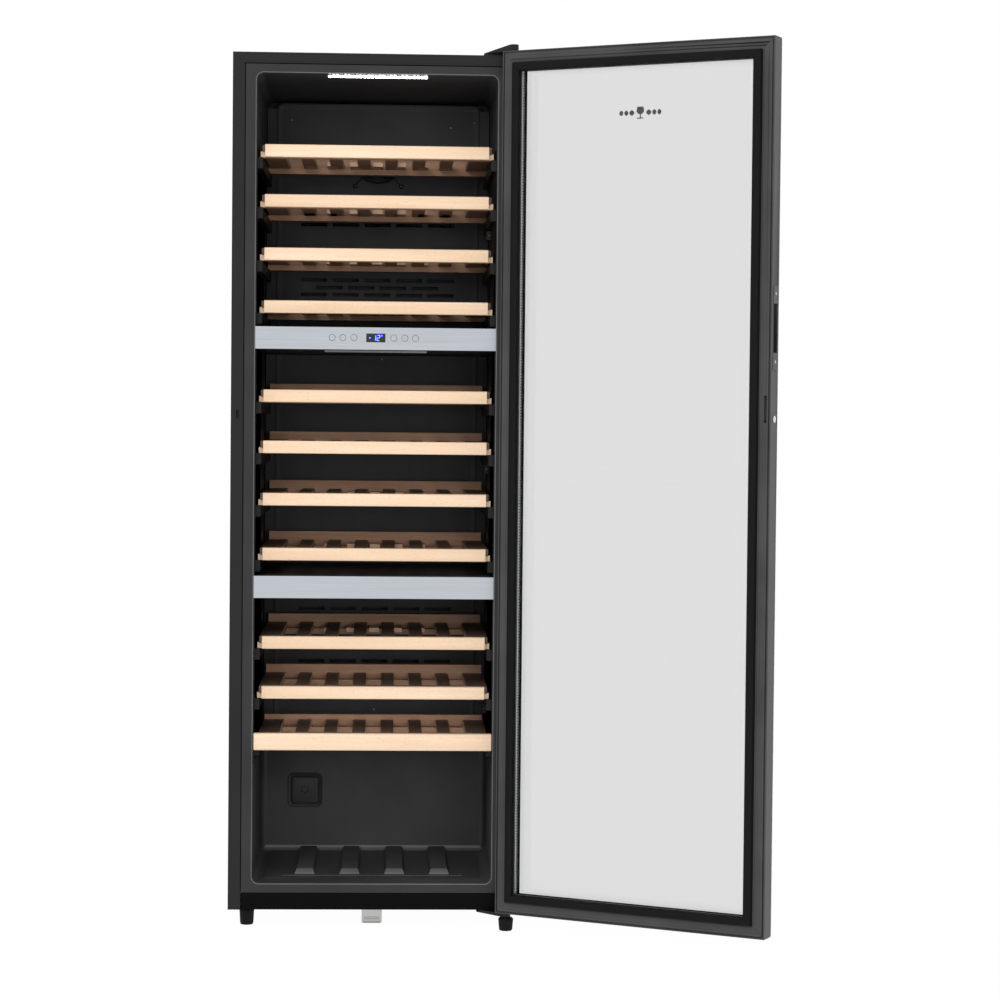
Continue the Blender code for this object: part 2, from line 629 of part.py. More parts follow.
def lock_keeper():
    """The plastic pocket behind the casing's slot that the lock's tongue turns into."""
    wide, tall, deep, wall = 0.0017, 0.0117, 0.0195, 0.0008
    pocket = boxes("lock_keeper", [((TONGUE_X[0] - wide, TONGUE_X[1] + wide), (SHEET + 0.0023, deep),
                                    (LOCK_HEIGHT - tall, LOCK_HEIGHT + tall))], ROOT, DARK_PLASTIC)
    wide, tall = wide - wall, tall - wall
    return cut(pocket, cutter_box("keeper_hollow", (TONGUE_X[0] - wide, TONGUE_X[1] + wide), (-0.01, deep - wall),
                                  (LOCK_HEIGHT - tall, LOCK_HEIGHT + tall), ROOT))


# ---- shelves -----------------------------------------------------------------------------------
def shelf_mesh(name, strip_half_width, strip_low, rack_back, rise):
    """A slatted rack with a front strip and a raised back bar. Heights count from an ordinary strip's foot."""
    top = STRIP_HEIGHT - 0.001
    board = (top - BOARD_THICKNESS, top)
    strip_back = SHELF_FRONT + STRIP_THICKNESS
    inner = RACK_HALF_WIDTH - SIDE_BOARD_WIDTH
    strip = rounded_box(name, (-strip_half_width, strip_half_width), (SHELF_FRONT, strip_back),
                        (strip_low, STRIP_HEIGHT), 0.003, ROOT, BEECH, along=0, segments=2)
    long_boards = [((-RACK_HALF_WIDTH, -inner), (strip_back - 0.004, rack_back), board),
                   ((inner, RACK_HALF_WIDTH), (strip_back - 0.004, rack_back), board)]
    gap = (2 * inner - SLAT_COUNT * SLAT_WIDTH) / (SLAT_COUNT + 1)
    for k in range(SLAT_COUNT):
        left = -inner + gap + k * (SLAT_WIDTH + gap)
        long_boards.append(((left, left + SLAT_WIDTH), (strip_back - 0.003, rack_back - 0.002), board))
    bar_back = rack_back - BACK_BAR_THICKNESS - 0.002
    bars = []
    for front in (strip_back - 0.0005, bar_back - CROSS_BAR_WIDTH):
        bars.append(((-RUNNER_HALF_LENGTH, RUNNER_HALF_LENGTH), (front, front + CROSS_BAR_WIDTH), CROSS_BAR_HEIGHTS))
    back_bar = ((-BACK_BAR_HALF_LENGTH, BACK_BAR_HALF_LENGTH), (rack_back - BACK_BAR_THICKNESS - 0.001,
                rack_back - 0.001), (CROSS_BAR_HEIGHTS[0] + 0.004, top + rise))
    fuse(strip, boxes(name + "_boards", long_boards, ROOT, None, CUTTERS),
         boxes(name + "_bars", bars, ROOT, None, CUTTERS), boxes(name + "_back", [back_bar], ROOT, None, CUTTERS))
    mesh = baked_mesh(strip)
    bpy.data.objects.remove(strip, do_unlink=True)
    return mesh


def shelf(number, mesh, depth, height):
    made = bpy.data.objects.new(f"shelf_{number:02d}", mesh)
    PARTS.objects.link(made)
    made.parent = ROOT
    made.location = (0, depth, height)


def shelves():
    ordinary = shelf_mesh("shelf", STRIP_HALF_WIDTH, 0.0, RACK_BACK, BACK_BAR_RISE)
    short = shelf_mesh("short_shelf", STRIP_HALF_WIDTH, 0.0, SHORT_RACK_BACK, BACK_BAR_RISE)
    low = shelf_mesh("low_shelf", LOW_STRIP_HALF_WIDTH, -LOW_STRIP_RISE, LOW_RACK_BACK, LOW_BACK_BAR_RISE)
    for number, bottom in enumerate(SHELF_BOTTOMS, start=1):
        shelf(number, short if number == len(SHELF_BOTTOMS) else ordinary, 0, bottom)
    shelf(len(SHELF_BOTTOMS) + 1, low, LOW_SHELF_SHIFT, LOW_SHELF_BOTTOM + LOW_STRIP_RISE)


# ---- door --------------------------------------------------------------------------------------
def door_frame():
    """The door's black profile frame, with room for the hinge pins, the handle cup and the lock."""
    side = DOOR_HALF_WIDTH
    frame_front = DOOR_OUTER + GLASS + GAP
    frame = boxes("door_frame", [((-side, side), (frame_front, DOOR_INNER), (DOOR_BOTTOM, DOOR_TOP))], DOOR,
                  DARK_PLASTIC)
    inner = side - DOOR_BORDER
    window = cutter_box("door_window", (-inner, inner), (DOOR_OUTER - 0.01, 0.01),
                        (DOOR_BOTTOM + DOOR_BORDER, DOOR_TOP - DOOR_BORDER), DOOR)
    pins = [cylinder("pin_hole_" + end, (*PIVOT, height), PIN_HOLE_RADIUS, PIN_LENGTH + 0.004, "Z", DOOR, None,
                     CUTTERS) for end, height in (("bottom", DOOR_BOTTOM), ("top", DOOR_TOP))]
    handle = cutter_box("handle_hole", (-side - 0.01, -side + HANDLE_DEPTH + GAP), (HANDLE_Y[0] - GAP,
                        HANDLE_Y[1] + GAP), (HANDLE_BOTTOM - GAP, HANDLE_TOP + GAP), DOOR)
    lock = cylinder("lock_hole", (-side, LOCK_DEPTH, LOCK_HEIGHT), LOCK_RADIUS + 0.0006, 0.050, "X", DOOR, None,
                    CUTTERS)
    tongue = cutter_box("tongue_slot", (TONGUE_X[0] - 0.0008, TONGUE_X[1] + 0.0008), (LOCK_DEPTH - 0.0076, 0.01),
                        (LOCK_HEIGHT - 0.0070, LOCK_HEIGHT + TONGUE_LENGTH + 0.002), DOOR)
    return cut(frame, window, *pins, handle, lock, tongue)


def glass_outer():
    side = DOOR_HALF_WIDTH - 0.0005
    return boxes("glass_outer", [((-side, side), (DOOR_OUTER, DOOR_OUTER + GLASS), (DOOR_BOTTOM + 0.0005,
                                  DOOR_TOP - 0.0005))], DOOR, CLEAR)


def window_pane(inset):
    """Half width, bottom and top of a rectangle set in from the frame's window."""
    return (DOOR_HALF_WIDTH - DOOR_BORDER - inset, DOOR_BOTTOM + DOOR_BORDER + inset,
            DOOR_TOP - DOOR_BORDER - inset)


def glass_inner():
    half, low, high = window_pane(0.001)
    return boxes("glass_inner", [((-half, half), (INNER_GLASS_BACK - GLASS, INNER_GLASS_BACK), (low, high))], DOOR,
                 CLEAR)


def glass_spacer():
    """The bar that holds the two panes apart."""
    depth = (DOOR_OUTER + GLASS + GAP, INNER_GLASS_BACK - GLASS - GAP)
    half, low, high = window_pane(0.001)
    bar = boxes("glass_spacer", [((-half, half), depth, (low, high))], DOOR, ZINC)
    half, low, high = window_pane(0.001 + SPACER_WIDTH)
    return cut(bar, cutter_box("spacer_hole", (-half, half), (depth[0] - 0.01, depth[1] + 0.01), (low, high), DOOR))


def door_gasket():
    """The magnetic seal that meets the cabinet's flange, with a rounded outline."""
    depth = (DOOR_INNER + GAP, -GAP)
    side = DOOR_HALF_WIDTH - GASKET_OUTER
    seal = rounded_box("door_gasket", (-side, side), depth, (DOOR_BOTTOM + GASKET_OUTER, DOOR_TOP - GASKET_OUTER),
                       0.006, DOOR, RUBBER, segments=2)
    side = DOOR_HALF_WIDTH - GASKET_INNER
    hole = rounded_box("gasket_hole", (-side, side), (depth[0] - 0.01, depth[1] + 0.01),
                       (DOOR_BOTTOM + GASKET_INNER, DOOR_TOP - GASKET_INNER), 0.003, DOOR, None, CUTTERS, segments=2)
    return cut(seal, hole)


def handle_insert():
    """The grip cup let into the door's free edge."""
    edge = -DOOR_HALF_WIDTH
    cup = boxes("handle_insert", [((edge - 0.0008, edge + HANDLE_DEPTH), HANDLE_Y, (HANDLE_BOTTOM, HANDLE_TOP))],
                DOOR, DARK_PLASTIC)
    grip = cutter_box("handle_grip", (edge - 0.01, edge + 0.021), (HANDLE_Y[0] + 0.0025, HANDLE_Y[1] - 0.0025),
                      (HANDLE_BOTTOM + 0.034, HANDLE_TOP - 0.036), DOOR)
    return cut(cup, grip)


def lock_barrel():
    """The lock's barrel with the tongue that turns into the casing's slot; drawn unlocked, tongue up."""
    edge = -DOOR_HALF_WIDTH
    axis = pivot("lock_axis", DOOR, (edge, LOCK_DEPTH, LOCK_HEIGHT))
    barrel = cylinder("lock_barrel", (edge + 0.0115, LOCK_DEPTH, LOCK_HEIGHT), LOCK_RADIUS, 0.025, "X", axis, ZINC)
    tongue = boxes("lock_tongue", [((TONGUE_X[0], TONGUE_X[1]), (LOCK_DEPTH - 0.005, LOCK_DEPTH + 0.005),
                                    (LOCK_HEIGHT - 0.003, LOCK_HEIGHT + TONGUE_LENGTH))], axis, None, CUTTERS)
    keyway = cutter_box("lock_keyway", (edge - 0.01, edge + 0.004), (LOCK_DEPTH - 0.0008, LOCK_DEPTH + 0.0008),
                        (LOCK_HEIGHT - 0.004, LOCK_HEIGHT + 0.004), axis)
    return cut(fuse(barrel, tongue), keyway)


# ---- assembly ----------------------------------------------------------------------------------
def build():
    outer_shell()
    rear_panel()
    base_pan()
    kick_plate()
    insulation_foam()
    inner_liner()
    floor_cradles()
    shelf_rail(-1)
    shelf_rail(1)
    lower_top = LOWER_FASCIA_BOTTOM + FASCIA_HEIGHT
    control_top = CONTROL_BOTTOM + FASCIA_HEIGHT
    duct_panel("duct_panel_upper", control_top + GAP, OPENING_TOP - 0.018, UPPER_SLOT_ROWS, FAN_HEIGHT)
    duct_panel("duct_panel_middle", lower_top + GAP, CONTROL_BOTTOM - GAP, ())
    duct_panel("duct_panel_lower", STEP_TOP + 0.018, LOWER_FASCIA_BOTTOM - GAP, LOWER_SLOT_ROWS)
    divider("upper_divider", CONTROL_BOTTOM)
    divider("lower_divider", LOWER_FASCIA_BOTTOM)
    control_fascia()
    display_window()
    fascia("lower_fascia", LOWER_FASCIA_BOTTOM)
    for name, x in zip(BUTTON_NAMES, BUTTON_X):
        button(name, x)
    light_bar("top_light", OPENING_TOP)
    light_bar("middle_light", CONTROL_BOTTOM)
    fan("fan_upper", FAN_HEIGHT)
    fan("fan_lower", LOWER_FAN_HEIGHT)
    evaporator("evaporator_upper", 1.410)
    evaporator("evaporator_lower", 0.780)
    compressor()
    condenser()
    compressor_cover()
    mains_inlet()
    carbon_filter()
    hinge_bracket_top()
    hinge_bracket_bottom()
    fixing_bracket()
    lock_keeper()
    levelling_foot("foot_front_left", LEFT_FOOT, CABINET_BOTTOM)
    levelling_foot("foot_front_right", PIVOT, FRONT_RIGHT_FOOT)
    levelling_foot("foot_rear_left", (-REAR_FOOT[0], REAR_FOOT[1]), CABINET_BOTTOM)
    levelling_foot("foot_rear_right", REAR_FOOT, CABINET_BOTTOM)
    shelves()
    door_frame()
    glass_outer()
    glass_inner()
    glass_spacer()
    door_gasket()
    handle_insert()
    lock_barrel()


build()
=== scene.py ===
"""Looks of the tall two-zone wine cooler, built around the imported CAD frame.

Cabinet pieces are made where they stand. Door and lock pieces are made for the closed door, in the same
frame, and piece() and refined() turn them open with the door's joint. Lengths are in metres.
"""
import json
import math

import bmesh
import bpy
from mathutils import Matrix, Vector


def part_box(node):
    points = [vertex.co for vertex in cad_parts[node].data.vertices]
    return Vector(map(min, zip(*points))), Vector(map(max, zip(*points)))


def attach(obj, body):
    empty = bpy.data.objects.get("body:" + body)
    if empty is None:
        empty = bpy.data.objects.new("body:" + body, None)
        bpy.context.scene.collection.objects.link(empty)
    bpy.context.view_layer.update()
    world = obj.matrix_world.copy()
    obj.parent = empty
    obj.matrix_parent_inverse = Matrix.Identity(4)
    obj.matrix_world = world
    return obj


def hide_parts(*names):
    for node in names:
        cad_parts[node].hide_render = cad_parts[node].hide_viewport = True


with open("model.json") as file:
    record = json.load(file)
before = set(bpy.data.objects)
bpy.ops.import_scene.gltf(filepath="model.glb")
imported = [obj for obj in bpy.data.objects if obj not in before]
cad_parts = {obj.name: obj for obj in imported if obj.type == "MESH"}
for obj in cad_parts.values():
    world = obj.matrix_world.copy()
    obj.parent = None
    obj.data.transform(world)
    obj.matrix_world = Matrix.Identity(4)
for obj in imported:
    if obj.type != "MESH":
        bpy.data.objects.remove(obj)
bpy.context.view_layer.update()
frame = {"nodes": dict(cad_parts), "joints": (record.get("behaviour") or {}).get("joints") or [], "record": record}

# ---- the frame: places that everything else is worked out from ---------------------------------
JOINTS = {joint["name"]: joint for joint in frame["joints"]}
HINGE = JOINTS["door_hinge"]
DOOR_TURN = (Matrix.Translation(HINGE["pos_m"]) @ Matrix.Rotation(math.radians(-HINGE["range_deg"][0]), 4, "Z")
             @ Matrix.Translation(-Vector(HINGE["pos_m"])))
SHELL_LOW, SHELL_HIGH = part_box("outer_shell")
LINER_LOW, LINER_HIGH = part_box("inner_liner")
FRONT = SHELL_LOW.y
DUCT_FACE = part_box("duct_panel_upper")[0].y
OPENING_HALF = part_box("control_fascia")[1].x + 0.0015
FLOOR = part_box("floor_mat")[0].z
LOWER_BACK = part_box("carbon_filter")[1].y
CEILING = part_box("top_light")[1].z
SLOTS = {part["node"]: part["material_slot"] for part in frame["record"]["subparts"]}
BODY_OF = {node: body for body, nodes in frame["record"]["behaviour"]["bodies"].items() for node in nodes}
ON_DOOR = [node for node, body in BODY_OF.items() if body in ("door", "lock")]


def closed_box(node):
    """A door node's box with the door shut."""
    back = DOOR_TURN.inverted()
    spots = [back @ v.co for v in frame["nodes"][node].data.vertices]
    return tuple(Vector([pick(s[i] for s in spots) for i in range(3)]) for pick in (min, max))


DOOR_LOW, DOOR_HIGH = closed_box("door_frame")
DOOR_SIDE = DOOR_HIGH.x
DOOR_INNER = DOOR_HIGH.y    # the face that looks into the cabinet


# ---- material nodes ----------------------------------------------------------------------------
class Look:
    """A Principled material with short calls for the nodes that most materials here need."""

    def __init__(self, name, colour, roughness, metallic=0.0, alpha=1.0):
        self.material = bpy.data.materials.new(name)
        self.material.use_nodes = True
        self.tree = self.material.node_tree
        self.shader = self.tree.nodes["Principled BSDF"]
        self.set("Base Color", (*colour, 1.0))
        self.set("Roughness", roughness)
        self.set("Metallic", metallic)
        self.material.diffuse_color = (*colour, alpha)

    def set(self, socket, value):
        self.shader.inputs[socket].default_value = value

    def node(self, kind, **inputs):
        made = self.tree.nodes.new("ShaderNode" + kind)
        for key, value in inputs.items():
            made.inputs[key.replace("_", " ")].default_value = value
        return made

    def link(self, source, target):
        self.tree.links.new(source, target)

    def coordinates(self, scale):
        """Object coordinates, in metres, stretched by a scale on each axis."""
        place = self.node("TexCoord")
        mapping = self.node("Mapping", Scale=scale)
        self.link(place.outputs["Object"], mapping.inputs["Vector"])
        return mapping.outputs["Vector"]

    def noise(self, scale, frequency, detail=3.0, roughness=0.55, distortion=0.0):
        made = self.node("TexNoise", Scale=frequency, Detail=detail, Roughness=roughness,
                         Distortion=distortion)
        self.link(self.coordinates(scale), made.inputs["Vector"])
        return made.outputs["Fac"]

    def ramp(self, source, stops):
        """A colour ramp of (place, colour) stops."""
        made = self.node("ValToRGB")
        ramp = made.color_ramp
        while len(ramp.elements) < len(stops):
            ramp.elements.new(0.5)
        for element, (place, colour) in zip(ramp.elements, stops):
            element.position = place
            element.color = (*colour, 1.0)
        self.link(source, made.inputs["Fac"])
        return made.outputs["Color"]

    def spread(self, source, low, high, socket=None):
        """A 0 to 1 value mapped to low..high, into a shader socket if one is named."""
        made = self.node("MapRange")
        made.inputs["To Min"].default_value = low
        made.inputs["To Max"].default_value = high
        self.link(source, made.inputs["Value"])
        if socket:
            self.link(made.outputs["Result"], self.shader.inputs[socket])
        return made.outputs["Result"]

    def bump(self, height, strength, distance):
        made = self.node("Bump", Strength=strength, Distance=distance)
        self.link(height, made.inputs["Height"])
        self.link(made.outputs["Normal"], self.shader.inputs["Normal"])
        return self

    def toned(self, source, colour, down, up):
        """A base colour that swings between a darker and a lighter tone along a 0 to 1 value."""
        dark = tuple(c * down for c in colour)
        light = tuple(min(c * up, 1.0) for c in colour)
        self.link(self.ramp(source, ((0.3, dark), (0.7, light))), self.shader.inputs["Base Color"])

    def multiplied(self, factor, first, second):
        """The first colour multiplied by the second, by the factor's share."""
        made = self.tree.nodes.new("ShaderNodeMix")
        made.data_type = "RGBA"
        made.blend_type = "MULTIPLY"
        sockets = [s for s in made.inputs if s.enabled]
        for socket, value in zip(sockets, (factor, first, second)):
            if hasattr(value, "is_output"):
                self.link(value, socket)
            else:
                socket.default_value = value
        return [s for s in made.outputs if s.enabled][0]


def worn_plastic(name, colour, roughness, grain=900.0, depth=0.00004):
    """Moulded plastic: a fine leather grain, and patches that shine a little more."""
    look = Look(name, colour, roughness)
    patches = look.noise((1, 1, 1), 7.0, 2.0)
    look.spread(patches, roughness - 0.06, roughness + 0.08, "Roughness")
    look.toned(patches, colour, 0.82, 1.18)
    return look.bump(look.noise((1, 1, 1), grain, 2.0), 0.25, depth)


def painted_steel(name, colour, roughness):
    """Powder-coated sheet: orange peel and faint cloudiness."""
    look = Look(name, colour, roughness)
    clouds = look.noise((1, 1, 1), 3.0, 3.0)
    look.spread(clouds, roughness - 0.05, roughness + 0.07, "Roughness")
    look.toned(clouds, colour, 0.90, 1.10)
    return look.bump(look.noise((1, 1, 1), 420.0, 2.0), 0.20, 0.00006)


def brushed_metal(name, colour, roughness, along):
    """Metal with fine lines along one axis (0, 1 or 2)."""
    look = Look(name, colour, roughness, 1.0)
    scale = [260.0, 260.0, 260.0]
    scale[along] = 1.2
    lines = look.noise(tuple(scale), 4.0, 4.0, 0.7)
    look.spread(lines, roughness - 0.10, roughness + 0.16, "Roughness")
    look.toned(lines, colour, 0.86, 1.08)
    return look.bump(lines, 0.25, 0.00003)


def wood(name, light, dark, along):
    """Beech with grain along one axis, small flecks, and a tone of its own for each board."""
    look = Look(name, light, 0.45)
    stretch = [55.0, 55.0, 55.0]
    stretch[along] = 2.2
    grain = look.noise(tuple(stretch), 3.0, 5.0, 0.62, 0.35)
    between = tuple((a + b) / 2 for a, b in zip(light, dark))
    colour = look.ramp(grain, ((0.25, dark), (0.50, between), (0.72, light)))
    flecks_scale = [900.0, 900.0, 900.0]
    flecks_scale[along] = 110.0
    flecks = look.noise(tuple(flecks_scale), 1.0, 1.0)
    fleck_mask = look.ramp(flecks, ((0.60, (1.0, 1.0, 1.0)), (0.72, (0.72, 0.60, 0.50))))
    colour = look.multiplied(0.55, colour, fleck_mask)
    broad = [6.0, 6.0, 6.0]
    broad[along] = 0.6
    tone = look.ramp(look.noise(tuple(broad), 3.0, 1.0), ((0.3, (0.86, 0.80, 0.74)), (0.7, (1.0, 1.0, 1.0))))
    look.link(look.multiplied(0.8, colour, tone), look.shader.inputs["Base Color"])
    look.spread(grain, 0.38, 0.58, "Roughness")
    return look.bump(grain, 0.25, 0.00008)


def rubber(name, colour):
    """Matt rubber with a very fine grain."""
    look = Look(name, colour, 0.62)
    patches = look.noise((1, 1, 1), 16.0, 3.0)
    look.spread(patches, 0.50, 0.74, "Roughness")
    look.set("Specular IOR Level", 0.12)
    return look.bump(look.noise((1, 1, 1), 1200.0, 2.0), 0.3, 0.00004)


def pane(name, tint):
    """Float glass with a faint waviness."""
    look = Look(name, tint, 0.0, alpha=0.3)
    look.set("Transmission Weight", 1.0)
    look.set("IOR", 1.45)
    return look.bump(look.noise((1, 1, 1), 5.0, 1.0), 0.004, 0.0002)


def glowing(name, colour, strength):
    """A lit diffuser."""
    look = Look(name, colour, 0.4)
    look.set("Emission Color", (*colour, 1.0))
    look.set("Emission Strength", strength)
    look.spread(look.noise((60, 60, 60), 3.0, 1.0), 0.35, 0.45, "Roughness")
    return look


LOOKS = {
    "casing": painted_steel("casing_paint", (0.0115, 0.0115, 0.012), 0.40),
    "lining": worn_plastic("lining_plastic", (0.040, 0.040, 0.0415), 0.40),
    "kick_plastic": worn_plastic("kick_plastic", (0.002, 0.002, 0.002), 0.42),
    "foam": worn_plastic("foam_cells", (0.80, 0.72, 0.45), 0.9, 300.0, 0.0004),
    "fascia_metal": brushed_metal("fascia_brushed", (0.54, 0.575, 0.615), 0.34, 0),
    "fan_plastic": worn_plastic("fan_plastic", (0.012, 0.012, 0.012), 0.5),
    "evaporator_metal": brushed_metal("evaporator_tube", (0.75, 0.75, 0.76), 0.35, 0),
    "compressor_paint": painted_steel("compressor_paint", (0.010, 0.010, 0.011), 0.25),
    "condenser_metal": brushed_metal("condenser_tube", (0.72, 0.37, 0.22), 0.35, 0),
    "inlet_plastic": worn_plastic("inlet_plastic", (0.010, 0.010, 0.010), 0.4),
    "filter_plastic": worn_plastic("filter_plastic", (0.022, 0.022, 0.023), 0.36),
    "hinge_metal": painted_steel("hinge_paint", (0.007, 0.007, 0.008), 0.35),
    "zinc": brushed_metal("zinc_plate", (0.50, 0.50, 0.49), 0.30, 2),
    "foot_rubber": rubber("foot_rubber", (0.004, 0.004, 0.004)),
    "door_frame_black": worn_plastic("door_frame_dark", (0.040, 0.040, 0.041), 0.36),
    "spacer_metal": brushed_metal("spacer_aluminium", (0.75, 0.76, 0.77), 0.35, 2),
    "gasket_rubber": rubber("gasket_rubber", (0.004, 0.004, 0.004)),
    "handle_plastic": worn_plastic("handle_plastic", (0.012, 0.012, 0.013), 0.38),
    "lock_metal": brushed_metal("lock_chrome", (0.78, 0.78, 0.78), 0.16, 0),
    "door_glass": pane("door_glass", (0.852, 0.853, 0.853)),
    "lamp": worn_plastic("lamp_diffuser", (0.13, 0.135, 0.14), 0.25),
    "display": worn_plastic("display_black", (0.003, 0.004, 0.012), 0.12),
    "beech": wood("beech_front", (0.69, 0.53, 0.385), (0.61, 0.45, 0.315), 0),
}
# The rack's board and bar woods are darker than the strip's beech: partly the wood's own tone, partly painted
# shade.
BEECH_BOARD_TONE_AND_SHADE = wood("beech_board", (0.54, 0.37, 0.265), (0.42, 0.28, 0.20), 1)
# painted shade: a dark copy of the beech for the rack tops and the strip's ends
BEECH_TOP_PAINTED_SHADE = wood("beech_top_painted_shade", (0.15, 0.10, 0.075), (0.08, 0.055, 0.042), 1)
BEECH_FACE = wood("beech_block", (0.74, 0.50, 0.36), (0.60, 0.40, 0.28), 0)
# the bar wood is partly painted shade, like the boards
BEECH_BAR_TONE_AND_SHADE = wood("beech_bar", (0.50, 0.30, 0.19), (0.34, 0.20, 0.13), 0)
LED = glowing("led_segments", (0.95, 0.97, 1.00), 14.0)
DIGIT = glowing("digit_blue", (0.06, 0.10, 1.00), 7.0)
PRINT = worn_plastic("print_grey", (0.36, 0.385, 0.42), 0.5)
FRIT = worn_plastic("frit_enamel", (0.004, 0.004, 0.005), 0.16)
# painted highlight: a lighter copy of the lining plastic for rounded edges and slopes that face the light
LINING_PAINTED_HIGHLIGHT = worn_plastic("lining_painted_highlight", (0.085, 0.085, 0.088), 0.30)
FLANGE = worn_plastic("lining_flange", (0.019, 0.019, 0.0195), 0.38)
RAIL = worn_plastic("rail_plastic", (0.013, 0.013, 0.013), 0.40)
SCREW = brushed_metal("screw_steel", (0.60, 0.60, 0.60), 0.28, 0)
DULL = {"casing": 0.18, "lining": 0.20, "kick_plastic": 0.05, "filter_plastic": 0.25, "hinge_metal": 0.20,
        "door_frame_black": 0.22, "fan_plastic": 0.15}    # how strongly each dark slot mirrors
for slot_name, level in DULL.items():
    LOOKS[slot_name].set("Specular IOR Level", level)
FLANGE.set("Specular IOR Level", 0.25)
RAIL.set("Specular IOR Level", 0.15)


def paint(obj, look):
    obj.data.materials.clear()
    obj.data.materials.append(look.material)


for node_name, node_object in frame["nodes"].items():
    paint(node_object, LOOKS[SLOTS[node_name]])


# ---- mesh helpers ------------------------------------------------------------------------------
FACING = {"X": Matrix.Rotation(math.pi / 2, 4, "Y"), "Y": Matrix.Rotation(math.pi / 2, 4, "X"),
          "Z": Matrix.Identity(4)}    # turns a lathe's axis; "Y" points its top to the front


def deep(y):
    """A place y behind the cabinet's front face."""
    return FRONT + y


def polar(radius, degrees, centre=(0.0, 0.0)):
    """The (x, z) point at an angle and a distance from a centre."""
    turn = math.radians(degrees)
    return centre[0] + radius * math.cos(turn), centre[1] + radius * math.sin(turn)


def linked(name, data):
    obj = bpy.data.objects.new(name, data)
    bpy.context.scene.collection.objects.link(obj)
    return obj


def object_of(name, bm):
    bmesh.ops.recalc_face_normals(bm, faces=bm.faces)
    mesh = bpy.data.meshes.new(name)
    bm.to_mesh(mesh)
    bm.free()
    return linked(name, mesh)


def add_block(bm, x, y, z, turn=None):
    """A box between limits on each axis, perhaps turned about its middle."""
    low, high = Vector((x[0], y[0], z[0])), Vector((x[1], y[1], z[1]))
    spot = Matrix.Translation((low + high) / 2) @ (turn or Matrix.Identity(4))
    bmesh.ops.create_cube(bm, size=1, matrix=spot @ Matrix.Diagonal((*(high - low), 1)))


def add_bar(bm, middle, length, width, y, angle):
    """A flat bar between two y limits, its length turned by an angle from the x axis."""
    x, z = middle
    add_block(bm, (x - length / 2, x + length / 2), y, (z - width / 2, z + width / 2),
              Matrix.Rotation(math.radians(-angle), 4, "Y"))


def bridge(bm, first, second):
    """Faces between two rings of the same number of corners."""
    for k in range(len(first)):
        follow = (k + 1) % len(first)
        bm.faces.new((first[k], first[follow], second[follow], second[k]))


def add_prism(bm, outline, front, back):
    """A closed outline of (x, z) points, carried from one y to another."""
    rows = [[bm.verts.new((x, y, z)) for x, z in outline] for y in (front, back)]
    bridge(bm, rows[0], rows[1])
    bm.faces.new(rows[0])
    bm.faces.new(reversed(rows[1]))


def rounded_path(half, low, high, radius=0.0, steps=6, middle=0.0):
    """(x, z) points round an upright rectangle with rounded corners, anticlockwise."""
    steps = steps if radius else 0
    points = []
    for x, z, start in ((half, low, -90), (half, high, 0), (-half, high, 90), (-half, low, 180)):
        centre = (middle + x - math.copysign(radius, x), z + (radius if z == low else -radius))
        for k in range(steps + 1):
            points.append(polar(radius, start + 90 * k / max(steps, 1), centre))
    return points


def add_sweep(bm, path, profile, closed=True):
    """A closed profile of (inward offset, y) points, carried along a path of (x, z) points."""
    spots = [Vector(point) for point in path]
    count = len(spots)
    rows = []
    for i, spot in enumerate(spots):
        runs = []
        if closed or i:
            runs.append((spot - spots[i - 1]).normalized())
        if closed or i < count - 1:
            runs.append((spots[(i + 1) % count] - spot).normalized())
        normals = [Vector((-run.y, run.x)) for run in runs]
        inward = sum(normals, Vector((0, 0))).normalized()
        inward /= inward.dot(normals[0])
        rows.append([bm.verts.new((spot.x + o * inward.x, y, spot.y + o * inward.y)) for o, y in profile])
    pairs = list(zip(rows, rows[1:])) + ([(rows[-1], rows[0])] if closed else [])
    for first, second in pairs:
        bridge(bm, first, second)
    if not closed:
        bm.faces.new(rows[0])
        bm.faces.new(reversed(rows[-1]))


def add_mitred(bm, half, low, high, profile, gap):
    """Four bars round an upright rectangle, cut at 45 degrees, with a gap at each corner's joint."""
    corners = [Vector(point) for point in rounded_path(half, low, high)]
    for start, end in zip(corners, corners[1:] + corners[:1]):
        run = (end - start).normalized()
        inward = Vector((-run.y, run.x))
        rows = []
        for spot, way in ((start, 1), (end, -1)):
            row = []
            for o, y in profile:
                corner = spot + inward * o + run * way * (o + gap)
                row.append(bm.verts.new((corner.x, y, corner.y)))
            rows.append(row)
        bridge(bm, rows[0], rows[1])
        bm.faces.new(rows[0])
        bm.faces.new(reversed(rows[1]))


def add_lathe(bm, profile, centre, axis="Z", steps=24, closed=False, ribs=0.0):
    """A turned shape: (radius, height) points. ribs is how deep its upright flutes are."""
    matrix = Matrix.Translation(centre) @ FACING[axis]
    rows = []
    for radius, height in profile:
        if radius == 0:
            rows.append([bm.verts.new(matrix @ Vector((0, 0, height)))] * steps)
            continue
        row = []
        for k in range(steps):
            reach = radius - (ribs if k % 4 in (2, 3) else 0)
            row.append(bm.verts.new(matrix @ Vector((*polar(reach, 360 * k / steps), height))))
        rows.append(row)
    for upper, lower in list(zip(rows, rows[1:])) + ([(rows[-1], rows[0])] if closed else []):
        for k in range(steps):
            follow = (k + 1) % steps
            ring = list(dict.fromkeys((upper[k], upper[follow], lower[follow], lower[k])))
            if len(ring) > 2:
                bm.faces.new(ring)


# ---- piece helpers -----------------------------------------------------------------------------
def smooth(obj, angle=35.0):
    obj.data.shade_smooth()
    obj.data.set_sharp_from_angle(angle=math.radians(angle))


def place(obj, slot_name, body, replaced=(), look=None):
    """Gives a finished piece its material, from its slot unless another look is given, puts it on its body, and
    hides the CAD nodes that it stands for.
    """
    paint(obj, look or LOOKS[slot_name])
    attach(obj, body)
    if replaced:
        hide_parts(*replaced)
    return obj


def rounding(obj, edge, segments):
    """A bevel on the edges that turn by more than 30 degrees."""
    step = obj.modifiers.new("rounding", "BEVEL")
    step.width = edge
    step.segments = segments
    step.limit_method = "ANGLE"
    step.angle_limit = math.radians(30.0)
    step.harden_normals = True


